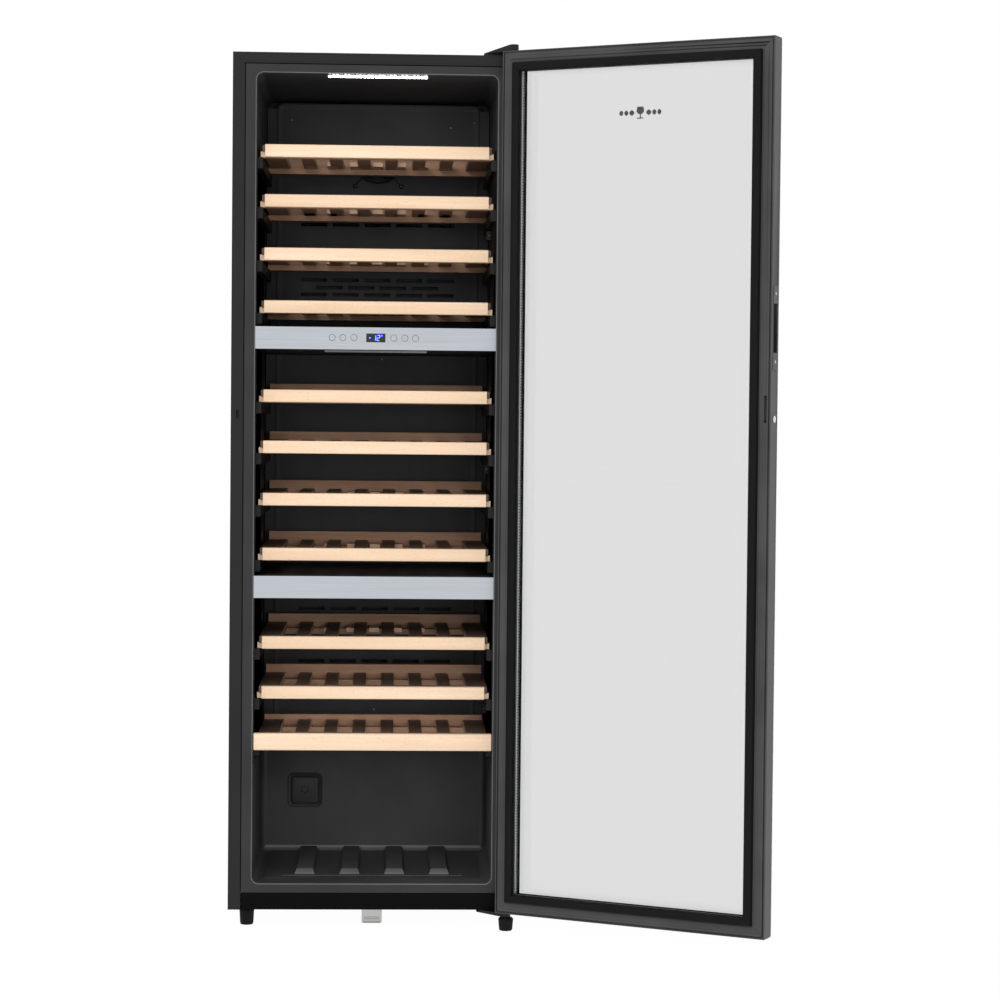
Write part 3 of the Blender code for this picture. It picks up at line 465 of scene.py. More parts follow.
def piece(name, bm, slot_name, body="cabinet", replaced=(), look=None, edge=0.0, segments=2):
    """A piece from mesh code. One that rides on the door or the lock is made shut, and turned open here."""
    obj = object_of(name, bm)
    if edge:
        rounding(obj, edge, segments)
    if body in ("door", "lock"):
        obj.data.transform(DOOR_TURN)
    smooth(obj)
    return place(obj, slot_name, body, replaced, look)


def flat_faces(mesh):
    """Joins the triangles of each flat face into one face."""
    bm = bmesh.new()
    bm.from_mesh(mesh)
    bmesh.ops.remove_doubles(bm, verts=bm.verts, dist=0.00001)
    bmesh.ops.dissolve_limit(bm, angle_limit=math.radians(1.0), verts=bm.verts, edges=bm.edges)
    bm.to_mesh(mesh)
    bm.free()


def spread_faces(obj, look, chosen):
    """A second look on the faces that a test picks."""
    obj.data.materials.append(look.material)
    for polygon in obj.data.polygons:
        polygon.material_index = 1 if chosen(polygon) else 0


def refined(node, edge, segments=2, cutters=()):
    """A copy of a CAD node with whole flat faces and rounded edges, less the cutters, in its place."""
    mesh = frame["nodes"][node].data.copy()
    if node in ON_DOOR:
        mesh.transform(DOOR_TURN.inverted())
    flat_faces(mesh)
    obj = linked(node + "_piece", mesh)
    for cutter in cutters:
        step = obj.modifiers.new("carve", "BOOLEAN")
        step.operation = "DIFFERENCE"
        step.solver = "EXACT"
        step.object = cutter
    if cutters:
        bpy.context.view_layer.update()
        seen = obj.evaluated_get(bpy.context.evaluated_depsgraph_get())
        obj.data = bpy.data.meshes.new_from_object(seen)
        obj.modifiers.clear()
        flat_faces(obj.data)
        for cutter in cutters:
            bpy.data.objects.remove(cutter, do_unlink=True)
    rounding(obj, edge, segments)
    if node in ON_DOOR:
        obj.data.transform(DOOR_TURN)
    smooth(obj, 40.0)
    return place(obj, SLOTS[node], BODY_OF[node], (node,))


def add_screw(bm, centre, axis="Y", radius=0.0019):
    """A pan-head screw with a driver's hollow; its head faces along the axis."""
    add_lathe(bm, ((0, 0.0002), (radius * 0.32, 0.0002), (radius * 0.45, 0.0012), (radius * 0.8, 0.0010),
                   (radius, 0.0004), (radius, -0.0002), (0, -0.0002)), centre, axis, 16)


# ---- casing, liner and floor -------------------------------------------------------------------
def mitre_cutters(half, low, high, inset, y, width):
    """Thin diagonal boxes at the corners of an upright rectangle, from its corner inwards by inset."""
    bm = bmesh.new()
    length = inset * math.sqrt(2)
    for x, z in rounded_path(half, low, high):
        lean = 45 if x * (z - (low + high) / 2) > 0 else -45
        middle = (x - math.copysign(inset / 2, x), z + (inset / 2 if z == low else -inset / 2))
        add_bar(bm, middle, width, length, y, -lean)
    return object_of("mitre_cutters", bm)


BEADS = (SHELL_HIGH.z - 0.0182, SHELL_HIGH.z - 0.0035)    # the tops of the top return's two beads
BEAD_WIDTH = 0.0007
MITRE_WIDTH = 0.0009
RIVET_COLUMNS = (-0.27, -0.09, 0.09, 0.27)
RIVET_ROWS = (SHELL_HIGH.z - 0.018, 0.330)


def casing():
    """The shell with its mitred front corners and beads pressed along the top return."""
    inset = SHELL_HIGH.x - LINER_HIGH.x
    mitres = mitre_cutters(SHELL_HIGH.x, SHELL_LOW.z - 0.2, SHELL_HIGH.z, inset, (deep(-0.001), deep(0.0007)),
                           MITRE_WIDTH)
    bm = bmesh.new()
    for top in BEADS:
        add_block(bm, (-LINER_HIGH.x, LINER_HIGH.x), (deep(-0.001), deep(0.0005)), (top - BEAD_WIDTH, top))
    refined("outer_shell", 0.0004, 2, (mitres, object_of("bead_cutter", bm)))
    refined("kick_plate", 0.0005)
    refined("rear_panel", 0.0004)
    refined("base_pan", 0.0004)
    bm = bmesh.new()
    head = ((0, -0.0013), (0.0030, -0.0011), (0.0042, -0.0003), (0.0042, 0.0003), (0, 0.0003))
    for x in RIVET_COLUMNS:
        for z in RIVET_ROWS:
            add_lathe(bm, head, (x, SHELL_HIGH.y, z), "Y", 16)
    piece("rear_rivets", bm, "zinc", look=SCREW)


MOUTH_RADIUS = 0.0160     # the opening's corners
LIP_RADIUS = 0.0020       # the rounded edge of the opening
FILLET_RADIUS = 0.012     # the tub's inner corners below the step
STEP_HEIGHT = 0.362       # the step over the compressor
FLANGE_DEPTH = 0.004
FLANGE_GROOVE = 0.0022    # the gap between the shell's return and the tub's flange


def liner():
    """The moulded tub with a rounded lip round the opening and soft inside corners. The lip, the hem and the
    fillet along the floor take a lighter copy of the lining plastic: a painted highlight.
    """
    bm = bmesh.new()
    add_sweep(bm, rounded_path(LINER_HIGH.x + 0.001, LINER_LOW.z - 0.3, LINER_HIGH.z + 0.001),
              [(0.0, deep(-0.001)), (FLANGE_GROOVE, deep(-0.001)), (FLANGE_GROOVE, deep(FLANGE_DEPTH)),
               (0.0, deep(FLANGE_DEPTH))])
    tub = refined("inner_liner", 0.0005, 2, (object_of("flange_cutter", bm),))
    spread_faces(tub, FLANGE, lambda face: face.center.y < deep(FLANGE_DEPTH))
    bm = bmesh.new()
    side, head = LINER_HIGH.x + 0.003, LINER_HIGH.z + 0.003
    add_sweep(bm, [(side, LINER_LOW.z), (side, head), (-side, head), (-side, LINER_LOW.z)],
              [(0.0, deep(0.0018)), (0.0070, deep(0.0018)), (0.0070, deep(0.0030)), (0.0, deep(0.0030))],
              closed=False)
    piece("flange_backing", bm, "kick_plastic", edge=0.0003)
    bm = bmesh.new()
    arc = []
    for angle in (0, 30, 60, 90):
        depth, offset = polar(LIP_RADIUS, angle)
        arc.append((offset, deep(LIP_RADIUS - depth)))
    add_sweep(bm, rounded_path(OPENING_HALF + 0.0002, FLOOR - 0.0005, CEILING + 0.0005, MOUTH_RADIUS, 8),
              [(0.0, deep(0.0045))] + arc + [(LIP_RADIUS, deep(0.0045))])
    # the lip's lighter look is a painted highlight
    piece("liner_lip", bm, "lining", look=LINING_PAINTED_HIGHLIGHT)
    bm = bmesh.new()
    half, foot, soft = OPENING_HALF, FLOOR - 0.0003, FILLET_RADIUS
    corner = [(0.0003, LOWER_BACK)]
    for angle in (0, 18, 36, 54, 72, 90):
        depth, offset = polar(soft, angle)
        corner.append((soft - offset + 0.0003, LOWER_BACK - soft + depth))
    path = [(-half, STEP_HEIGHT), (-half, foot), (half, foot), (half, STEP_HEIGHT)]
    add_sweep(bm, path, corner, closed=False)
    fillet = piece("liner_fillet", bm, "lining")
    # painted highlight on the fillet's run along the floor
    spread_faces(fillet, LINING_PAINTED_HIGHLIGHT, lambda face: face.center.z < foot + soft and abs(face.center.x) < half - soft)
    bm = bmesh.new()
    add_sweep(bm, [(-LINER_HIGH.x + 0.001, LINER_LOW.z), (LINER_HIGH.x - 0.001, LINER_LOW.z)],
              [(0.0, deep(0.0012)), (0.0006, deep(0.0002)), (0.0022, deep(0.0001)), (0.0028, deep(0.0006)),
               (0.0028, deep(0.0012))], closed=False)
    # the hem's lighter look is a painted highlight
    piece("liner_hem", bm, "lining", look=LINING_PAINTED_HIGHLIGHT)


REST_PITCH = 0.095
REST_COUNT = 4


def add_rest(bm, x, z, front, back):
    """One raised bottle rest: drafted sides, a sloped front and a long flat top."""
    rows = []
    for height, wide, setback in ((0, 0.0215, 0), (0.0035, 0.0205, 0.0022), (0.0090, 0.0180, 0.0095),
                                  (0.0105, 0.0165, 0.0125)):
        start = front + setback
        rows.append([bm.verts.new((x + side * wide, y, z + height))
                     for side, y in ((-1, start), (1, start), (1, back), (-1, back))])
    for lower, upper in zip(rows, rows[1:]):
        bridge(bm, lower, upper)
    bm.faces.new(reversed(rows[0]))
    bm.faces.new(rows[-1])


def floor_mat():
    """The floor's skin with its raised rests and a rib in front of them. The rests' sloped fronts take a lighter
    copy of the lining plastic: a painted highlight.
    """
    low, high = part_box("floor_mat")
    bm = bmesh.new()
    add_block(bm, (low.x, high.x), (low.y, high.y), (low.z, low.z + 0.0009))
    for k in range(REST_COUNT):
        x = (k - (REST_COUNT - 1) / 2) * REST_PITCH
        add_rest(bm, x, low.z + 0.0005, low.y + 0.049, high.y - 0.002)
    add_sweep(bm, [(-0.19, low.z), (0.19, low.z)],
              [(0.0005, low.y + 0.026), (0.0018, low.y + 0.0268), (0.0024, low.y + 0.028),
               (0.0018, low.y + 0.0292), (0.0005, low.y + 0.030)], closed=False)
    mat = piece("floor_mat_piece", bm, "lining", replaced=("floor_mat",), edge=0.0012, segments=3)

    def sloped(face):
        return face.normal.y < -0.3 and face.normal.z > 0.1 and face.center.z > low.z + 0.002

    # painted highlight on the rests' sloped fronts
    spread_faces(mat, LINING_PAINTED_HIGHLIGHT, sloped)


# ---- ducts, rails, filter and sensors ----------------------------------------------------------
BORDER_SIDE = 0.2275      # from the middle to the raised border's outer edge
BORDER_TOP = 1.7614
PANEL_SCREWS = ((-0.194, 1.7241), (0.2155, 1.7233), (0.1627, 1.7113), (0.0124, 1.1906), (-0.194, 1.2600),
                (0.194, 1.2600), (-0.194, 0.7450), (0.194, 0.7450), (0.0, 0.4000))
GUARD_BOSSES = ((-0.052, 1.578), (0.052, 1.578))
GUARD_RINGS = (0.0655, 0.052, 0.038, 0.024)
COVER_RADIUS = 0.0657


def duct_panels():
    """Panels with a rounded raised border, the dividers between them and their screws."""
    for node in ("duct_panel_upper", "duct_panel_middle", "duct_panel_lower"):
        refined(node, 0.0005)
    for node in ("upper_divider", "lower_divider"):
        refined(node, 0.0012, 3)
    border = [(0.0, DUCT_FACE), (0.0008, DUCT_FACE - 0.0010), (0.0022, DUCT_FACE - 0.0016),
              (0.0062, DUCT_FACE - 0.0016), (0.0078, DUCT_FACE - 0.0009), (0.0135, DUCT_FACE - 0.0006),
              (0.0135, DUCT_FACE)]
    half = BORDER_SIDE
    bm = bmesh.new()
    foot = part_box("duct_panel_upper")[0].z
    upper_corners = rounded_path(half, foot, BORDER_TOP, 0.0150, 6)[7:21]
    add_sweep(bm, [(half, foot)] + upper_corners + [(-half, foot)], border, closed=False)
    for node in ("duct_panel_middle", "duct_panel_lower"):
        low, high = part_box(node)
        add_sweep(bm, [(half, low.z), (half, high.z)], border, closed=False)
        add_sweep(bm, [(-half, high.z), (-half, low.z)], border, closed=False)
    piece("duct_borders", bm, "lining")
    bm = bmesh.new()
    for x, z in PANEL_SCREWS:
        add_screw(bm, (x, DUCT_FACE, z))
    for x, z in GUARD_BOSSES:
        add_screw(bm, (x, DUCT_FACE - 0.0030, z), radius=0.0016)
    piece("duct_screws", bm, "zinc", look=SCREW)


def fan_guard():
    """Rings and arms over the lower part of the upper fan's opening, and a flush cover over the rest."""
    low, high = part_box("fan_upper")
    x, z = (low.x + high.x) / 2, (low.z + high.z) / 2
    centre = Vector((x, DUCT_FACE, z))
    bm = bmesh.new()
    for radius in GUARD_RINGS:
        add_lathe(bm, ((radius, 0.0014), (radius - 0.0008, 0.0018), (radius - 0.0024, 0.0018),
                       (radius - 0.0032, 0.0012), (radius - 0.0032, -0.0012), (radius, -0.0012)),
                  centre, "Y", 48, closed=True)
    cut = bmesh.ops.bisect_plane(bm, geom=bm.verts[:] + bm.edges[:] + bm.faces[:], clear_outer=True,
                                 plane_co=centre, plane_no=(0, 0, 1))
    cut_edges = [part for part in cut["geom_cut"] if isinstance(part, bmesh.types.BMEdge)]
    bmesh.ops.holes_fill(bm, edges=cut_edges)
    for angle in (215, 325):
        add_bar(bm, polar(0.044, angle, (x, z)), 0.044, 0.0028, (DUCT_FACE - 0.0012, DUCT_FACE + 0.0008), angle)
    for boss_x, boss_z in GUARD_BOSSES:
        add_lathe(bm, ((0, 0.0028), (0.0042, 0.0028), (0.0050, 0.0018), (0.0054, 0), (0, 0)),
                  (boss_x, DUCT_FACE, boss_z), "Y", 20)
        start, end = Vector((boss_x, boss_z)), Vector((boss_x * 0.72, z - 0.0545))
        run = end - start
        add_bar(bm, (start + end) / 2, run.length, 0.0026, (DUCT_FACE - 0.0014, DUCT_FACE - 0.0001),
                math.degrees(math.atan2(run.y, run.x)))
    piece("fan_guard", bm, "fan_plastic", edge=0.0003)
    bm = bmesh.new()
    outline = [polar(COVER_RADIUS, 7.5 * k, (x, z)) for k in range(25)]
    add_prism(bm, outline, DUCT_FACE, DUCT_FACE + 0.003)
    piece("fan_cover", bm, "lining", edge=0.0002)


SENSOR_HEIGHTS = (1.4567, 0.9483, 0.4247)


def sensors():
    """Small slitted covers on the right wall, one in each compartment."""
    bm = bmesh.new()
    dots = bmesh.new()
    wall = OPENING_HALF - 0.0030
    for z in SENSOR_HEIGHTS:
        add_block(bm, (wall - 0.0090, wall), (deep(0.288), deep(0.318)), (z - 0.0100, z + 0.0100))
        for k in range(4):
            y = deep(0.2925 + 0.0070 * k)
            add_block(bm, (wall - 0.0097, wall - 0.0085), (y, y + 0.0030), (z - 0.0075, z + 0.0075))
        add_screw(dots, (wall - 0.0045, deep(0.288), z), radius=0.0016)
    piece("sensor_covers", bm, "lining", edge=0.0008)
    piece("sensor_screws", dots, "zinc", look=SCREW)


def filter_cap():
    """The filter's cap: a sloped rim, a groove and a rounded lid with a ring of short vents."""
    low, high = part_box("carbon_filter")
    middle, half = (low.x + high.x) / 2, (high.x - low.x) / 2
    back, front = high.y, low.y
    steps = ((0.0000, back), (0.0004, back - 0.0022), (0.0016, back - 0.0030), (0.0026, back - 0.0028),
             (0.0080, back - 0.0010), (0.0086, back - 0.0012), (0.0090, front + 0.0016),
             (0.0100, front + 0.0004), (0.0118, front))
    bm = bmesh.new()
    rows = []
    for inset, y in steps:
        radius = max(0.014 - inset, 0.0045)
        path = rounded_path(half - inset, low.z + inset, high.z - inset, radius, 6, middle)
        rows.append([bm.verts.new((x, y, z)) for x, z in path])
    for first, second in zip(rows, rows[1:]):
        bridge(bm, first, second)
    bm.faces.new(rows[0])
    bm.faces.new(rows[-1])
    piece("carbon_filter_piece", bm, "filter_plastic", "carbon_filter", ("carbon_filter",))
    bm = bmesh.new()
    for k in range(6):
        spot = polar(0.0075, 60 * k + 30, (middle, (low.z + high.z) / 2 + 0.002))
        add_bar(bm, spot, 0.0056, 0.0018, (front - 0.0004, front + 0.0002), 60 * k + 30)
    piece("filter_vents", bm, "filter_plastic", "carbon_filter", look=LOOKS["kick_plastic"], edge=0.0002)


def rails():
    """The ledges that carry the shelves, with softened edges."""
    for node in ("shelf_rail_left", "shelf_rail_right"):
        paint(refined(node, 0.0008), RAIL)


# ---- fascias, display and lights ---------------------------------------------------------------
ICONS = {"power": "arc", "light": "rays", "unit": "bar", "zone": "rings", "up": "rise", "down": "fall"}
SEGMENTS = {"1": "bc", "2": "abged"}


def add_ring(bm, centre, radius, thick, y):
    add_lathe(bm, ((radius, 0.00012), (radius - thick, 0.00012), (radius - thick, -0.0001), (radius, -0.0001)),
              (centre[0], y, centre[1]), "Y", 28, closed=True)


def add_dash(bm, centre, length, width, y, angle=0.0):
    add_bar(bm, centre, length, width, (y - 0.00012, y + 0.0001), angle)


def icon(bm, kind, x, z, y):
    """A ring round a small sign for what the button does."""
    add_ring(bm, (x, z), 0.0048, 0.0003, y)
    if kind == "arc":
        add_ring(bm, (x, z - 0.0003), 0.0021, 0.0005, y)
        add_dash(bm, (x, z + 0.0016), 0.0022, 0.0005, y, 90)
    elif kind == "rays":
        add_ring(bm, (x, z), 0.0013, 0.0004, y)
        for angle in range(0, 360, 45):
            add_dash(bm, polar(0.0024, angle, (x, z)), 0.0011, 0.0004, y, angle)
    elif kind == "bar":
        add_dash(bm, (x, z + 0.0006), 0.0042, 0.0010, y, 90)
        add_ring(bm, (x, z - 0.0018), 0.0013, 0.0006, y)
    elif kind == "rings":
        add_ring(bm, (x - 0.0010, z), 0.0016, 0.0004, y)
        add_ring(bm, (x + 0.0010, z), 0.0016, 0.0004, y)
    else:
        tip = 1 if kind == "rise" else -1
        for side in (-1, 1):
            add_dash(bm, (x + side * 0.0009, z), 0.0028, 0.0005, y, -side * tip * 40)


def fascias():
    """Brushed fascias with rounded edges, engraved rings on the buttons and short dashes below them."""
    refined("control_fascia", 0.0007, 3)
    refined("lower_fascia", 0.0007, 3)
    dashes = bmesh.new()
    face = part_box("control_fascia")[0].y
    for name, kind in ICONS.items():
        node = "button_" + name
        low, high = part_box(node)
        x, z = (low.x + high.x) / 2, (low.z + high.z) / 2
        refined(node, 0.0003)
        bm = bmesh.new()
        icon(bm, kind, x, z, low.y)
        piece("icon_" + name, bm, "fascia_metal", node, look=PRINT)
        for k, length in enumerate((0.0030, 0.0022, 0.0034)):
            add_dash(dashes, (x - 0.0036 + 0.0036 * k, z - 0.0118), length, 0.0008, face)
    piece("button_marks", dashes, "fascia_metal", look=PRINT)


def display():
    """The window and its two seven-segment digits with a degree ring and a dot."""
    refined("display_window", 0.0004)
    low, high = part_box("display_window")
    middle, face = (low.z + high.z) / 2, low.y
    bm = bmesh.new()
    wide, tall, thick = 0.0052, 0.0054, 0.0014
    for centre, digit in ((-0.0030, "1"), (0.0052, "2")):
        spots = {"a": (0, tall, 0), "g": (0, 0, 0), "d": (0, -tall, 0), "b": (wide / 2, tall / 2, 90),
                 "c": (wide / 2, -tall / 2, 90), "e": (-wide / 2, -tall / 2, 90)}
        for letter in SEGMENTS[digit]:
            x, z, angle = spots[letter]
            length = (wide if angle == 0 else tall) - 0.0006
            add_dash(bm, (centre + x + z * 0.10, middle + z), length, thick, face, angle)
    add_ring(bm, (0.0120, middle + 0.0045), 0.0015, 0.0007, face)
    add_lathe(bm, ((0, 0.00012), (0.0014, 0.00012), (0.0014, -0.0001), (0, -0.0001)),
              (-0.0125, face, middle), "Y", 16)
    piece("display_digits", bm, "display", look=DIGIT)


LED_COUNT = 26


def lamps():
    """Lamp strips: a rounded housing under each ceiling, and lit segments in the upper one."""
    refined("top_light", 0.0010, 3)
    refined("middle_light", 0.0010, 3)
    low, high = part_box("top_light")
    bm = bmesh.new()
    pitch = (high.x - low.x - 0.006) / LED_COUNT
    for k in range(LED_COUNT):
        x = low.x + 0.003 + pitch * (k + 0.5)
        tall = 0.0036 if k % 3 else 0.0028
        add_block(bm, (x - pitch * 0.36, x + pitch * 0.36), (low.y - 0.0006, low.y + 0.0050),
                  (low.z - 0.0005, low.z + tall))
    piece("led_strip", bm, "lamp", look=LED, edge=0.0004)


# ---- shelves -----------------------------------------------------------------------------------
BLOCK_PITCH = 0.0496      # between the blocks under a rack's boards
BLOCK_HALF = 0.0112
STRIP_DEPTH = 0.0182      # from a rack's front to the back of its front strip
STRIP_SIDE = 0.2325       # from the middle to the strip's end, except on the lowest rack
BACK_BAR = 0.0150         # how deep a rack's rear bar is
FULL_WIDTH = "shelf_11"   # the lowest rack, whose strip covers its runners
BOARD_LOOKS = (BEECH_BOARD_TONE_AND_SHADE, BEECH_TOP_PAINTED_SHADE, BEECH_BAR_TONE_AND_SHADE)    # face looks 1, 2 and 3; 0 is the strip's; 2 is a dark painted shade


def shelf(node):
    """A rack with rounded boards; each board's faces take the grain that runs along it. The upward faces and the
    strip's ends take a dark copy of the beech: a painted shade.
    """
    low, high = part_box(node)
    obj = refined(node, 0.0009, 2)
    for look in BOARD_LOOKS:
        obj.data.materials.append(look.material)
    if node not in ("shelf_10", FULL_WIDTH):
        bm = bmesh.new()
        foot_z = high.z - 0.0320
        for k in range(-3, 4):
            x = k * BLOCK_PITCH
            add_block(bm, (x - BLOCK_HALF, x + BLOCK_HALF), (high.y - 0.120, high.y - 0.0300),
                      (foot_z, foot_z + 0.0095))
        piece(node + "_blocks", bm, "beech", node, look=BEECH_FACE, edge=0.0006)
    bars_top = high.z - (0.0230 if node == FULL_WIDTH else 0.0300)
    for polygon in obj.data.polygons:
        centre = polygon.center
        in_front = centre.y < low.y + STRIP_DEPTH
        if in_front and (abs(centre.x) < STRIP_SIDE or node == FULL_WIDTH):
            polygon.material_index = 0
        # the strip's ends beyond STRIP_SIDE: painted shade
        elif in_front:
            polygon.material_index = 2
        elif centre.y > high.y - BACK_BAR or centre.z < bars_top:
            # the rear bar and the low faces: bar wood, partly painted shade
            polygon.material_index = 3
        # upward faces: painted shade
        elif polygon.normal.z > 0.7:
            polygon.material_index = 2
        # the rest: board wood, partly painted shade
        else:
            polygon.material_index = 1


# ---- hinges, feet and bracket ------------------------------------------------------------------
SCREW_ROW = (-0.046, -0.022, 0.002)    # the hinge screws' places along x, from the pivot


def fixings():
    """The hinges with their bushes and screws, and the zinc bracket with its pressed ribs."""
    refined("hinge_bracket_top", 0.0006)
    refined("hinge_bracket_bottom", 0.0006)
    refined("fixing_bracket", 0.0005)
    pivot_x, pivot_y = HINGE["pos_m"][0], HINGE["pos_m"][1]
    top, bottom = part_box("hinge_bracket_top"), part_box("hinge_bracket_bottom")
    bm = bmesh.new()
    add_lathe(bm, ((0, 0.0001), (0.0040, 0.0001), (0.0042, 0.0), (0.0042, -0.0010), (0, -0.0010)),
              (pivot_x, pivot_y, top[1].z - 0.0001), "Z", 24)
    piece("hinge_bush", bm, "zinc", look=SCREW)
    bm = bmesh.new()
    for x in SCREW_ROW:
        add_screw(bm, (pivot_x + x, deep(0.036), top[0].z + 0.0128), "Z", 0.0042)
    for x in SCREW_ROW[:2]:
        add_lathe(bm, ((0, -0.0018), (0.0040, -0.0018), (0.0044, 0.0), (0, 0.0)),
                  (pivot_x + x, deep(0.036), bottom[0].z + 0.0030), "Z", 6)
    piece("hinge_screws", bm, "zinc", look=SCREW)
    low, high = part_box("fixing_bracket")
    bm = bmesh.new()
    for z in (0.0150, 0.0185):
        add_sweep(bm, [(low.x + 0.005, z), (high.x - 0.005, z)],
                  [(0.0, low.y + 0.0068), (0.0006, low.y + 0.0062), (0.0014, low.y + 0.0062),
                   (0.0020, low.y + 0.0072)], closed=False)
    piece("bracket_ribs", bm, "zinc")


def foot(node):
    """A levelling foot: a fluted, tapered rubber body, a domed shoulder and a rounded sole."""
    low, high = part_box(node)
    centre = ((low.x + high.x) / 2, (low.y + high.y) / 2, 0)
    wide, tall = (high.x - low.x) / 2, high.z
    bm = bmesh.new()
    add_lathe(bm, ((0, tall), (wide * 0.45, tall), (wide * 0.78, tall - 0.0008), (wide * 0.95, tall - 0.0030),
                   (wide, tall - 0.0055)), centre, "Z", 48)
    add_lathe(bm, ((0, tall - 0.0052), (wide, tall - 0.0052), (wide * 0.97, tall - 0.0070),
                   (wide * 0.88, 0.0035), (wide * 0.84, 0.0012), (wide * 0.78, low.z), (0, low.z)),
              centre, "Z", 48, ribs=0.0007)
    piece(node + "_piece", bm, "foot_rubber", node, (node,))


# ---- door --------------------------------------------------------------------------------------
CAVITY = 0.0245        # from the door's edge to the room for the glass unit, behind the frame's lip
LIP_EDGE = 0.0430      # from the door's edge to the frame's inner edge
LIP_ROOT = 0.0365      # the lip's own inner edge behind its thin front
FRIT_EDGE = 0.0392     # from the door's edge to the end of the black print on the outer glass
SPACER_FACE = 0.0351   # from the door's edge to the face of the bar between the panes
HOLE_PITCH = 0.0060    # between the spacer's fine holes
MARK = (0.0037, 1.677)    # the sign's middle on the glass


DOOR_EDGE = rounded_path(DOOR_SIDE, DOOR_LOW.z, DOOR_HIGH.z)


def ring_cutter(name, bars):
    """Closed rings, each given as (outer inset, inner inset, first y, last y) from the door's edge."""
    bm = bmesh.new()
    for outer, inner, first, last in bars:
        add_sweep(bm, DOOR_EDGE, [(outer, first), (inner, first), (inner, last), (outer, last)])
    return object_of(name, bm)


def door_frame():
    """The frame with its mitres, its edge groove and fine lines, and room behind its lip for the glass."""
    inner_glass = closed_box("glass_inner")
    room = ring_cutter("room", [(CAVITY, LIP_EDGE + 0.001, inner_glass[1].y + 0.0003, DOOR_LOW.y - 0.001)])
    under = ring_cutter("under", [(LIP_ROOT, LIP_EDGE + 0.001, DOOR_INNER - 0.0025, DOOR_LOW.y - 0.001)])
    lines = ring_cutter("lines", [(0.0020, 0.0055, DOOR_INNER + 0.001, DOOR_INNER - 0.0045),
                                  (0.0105, 0.0112, DOOR_INNER + 0.001, DOOR_INNER - 0.0004),
                                  (0.0165, 0.0172, DOOR_INNER + 0.001, DOOR_INNER - 0.0004),
                                  (0.0222, 0.0232, DOOR_INNER + 0.001, DOOR_INNER - 0.0006)])
    mitres = mitre_cutters(DOOR_SIDE, DOOR_LOW.z, DOOR_HIGH.z, LIP_EDGE,
                           (DOOR_INNER - 0.0007, DOOR_INNER + 0.001), 0.0005)
    refined("door_frame", 0.0004, 2, (room, under, lines, mitres))


def glass_unit():
    """Both panes, the bar between them with its rows of fine holes drawn as black marks of painted shade, and the
    outer pane's black border.
    """
    low, high = closed_box("glass_inner")
    bm = bmesh.new()
    half = DOOR_SIDE - CAVITY - 0.0005
    foot, head = DOOR_LOW.z + CAVITY + 0.0005, DOOR_HIGH.z - CAVITY - 0.0005
    add_block(bm, (-half, half), (low.y, high.y), (foot, head))
    piece("glass_inner_piece", bm, "door_glass", "door", ("glass_inner",), edge=0.0005)
    low, high = closed_box("glass_outer")
    bm = bmesh.new()
    add_block(bm, (low.x, high.x), (low.y, high.y), (low.z, high.z))
    piece("glass_outer_piece", bm, "door_glass", "door", ("glass_outer",), edge=0.0008)
    back = high.y
    bm = bmesh.new()
    add_sweep(bm, DOOR_EDGE,
              [(0.0012, back + 0.00005), (FRIT_EDGE, back + 0.00005), (FRIT_EDGE, back + 0.00020),
               (0.0012, back + 0.00020)])
    piece("glass_border", bm, "display", "door", look=FRIT)
    first, last = closed_box("glass_spacer")[0].y + 0.0004, closed_box("glass_spacer")[1].y
    bm = bmesh.new()
    add_sweep(bm, DOOR_EDGE,
              [(CAVITY + 0.0008, first), (SPACER_FACE - 0.001, first), (SPACER_FACE, first + 0.001),
               (SPACER_FACE, last - 0.001), (SPACER_FACE - 0.001, last), (CAVITY + 0.0008, last)])
    piece("glass_spacer_piece", bm, "spacer_metal", "door", ("glass_spacer",))
    # the holes are flush black marks: painted shade
    bm = bmesh.new()
    middle = (first + last) / 2
    for x in (SPACER_FACE - DOOR_SIDE, DOOR_SIDE - SPACER_FACE):
        for k in range(int((DOOR_HIGH.z - DOOR_LOW.z - 0.080) / HOLE_PITCH)):
            z = DOOR_LOW.z + 0.040 + HOLE_PITCH * (k + 0.5)
            add_block(bm, (x - 0.0003, x + 0.0003), (middle - 0.0030, middle + 0.0030),
                      (z - 0.0013, z + 0.0013))
    piece("spacer_holes_painted_shade", bm, "spacer_metal", "door", look=LOOKS["kick_plastic"])


def glass_mark():
    """A plain wine-glass sign between rows of lozenges, on the inner side of the outer pane."""
    y = closed_box("glass_outer")[1].y + 0.0004
    bm = bmesh.new()

    def shape(points):
        add_prism(bm, [(MARK[0] + x, MARK[1] + z) for x, z in points], y, y - 0.0002)

    bowl = [polar(1.0, angle) for angle in range(-180, 1, 15)]
    shape([(-0.0066, 0.0120)] + [(0.0082 * x, 0.0040 + 0.0074 * z) for x, z in bowl] + [(0.0066, 0.0120)])
    shape([(-0.0013, -0.0036), (-0.0013, -0.0098), (0.0013, -0.0098), (0.0013, -0.0036)])
    shape([(-0.0068, -0.0100), (-0.0068, -0.0122), (0.0068, -0.0122), (0.0068, -0.0100)])
    for side in (-1, 1):
        for offset, half in ((0.0185, 0.0052), (0.0305, 0.0042), (0.0415, 0.0042)):
            centre = side * offset
            shape([(centre - half, -0.0022), (centre, -0.0060), (centre + half, -0.0022),
                   (centre + half, 0.0022), (centre, 0.0060), (centre - half, 0.0022)])
    piece("glass_mark", bm, "display", "door", look=FRIT)


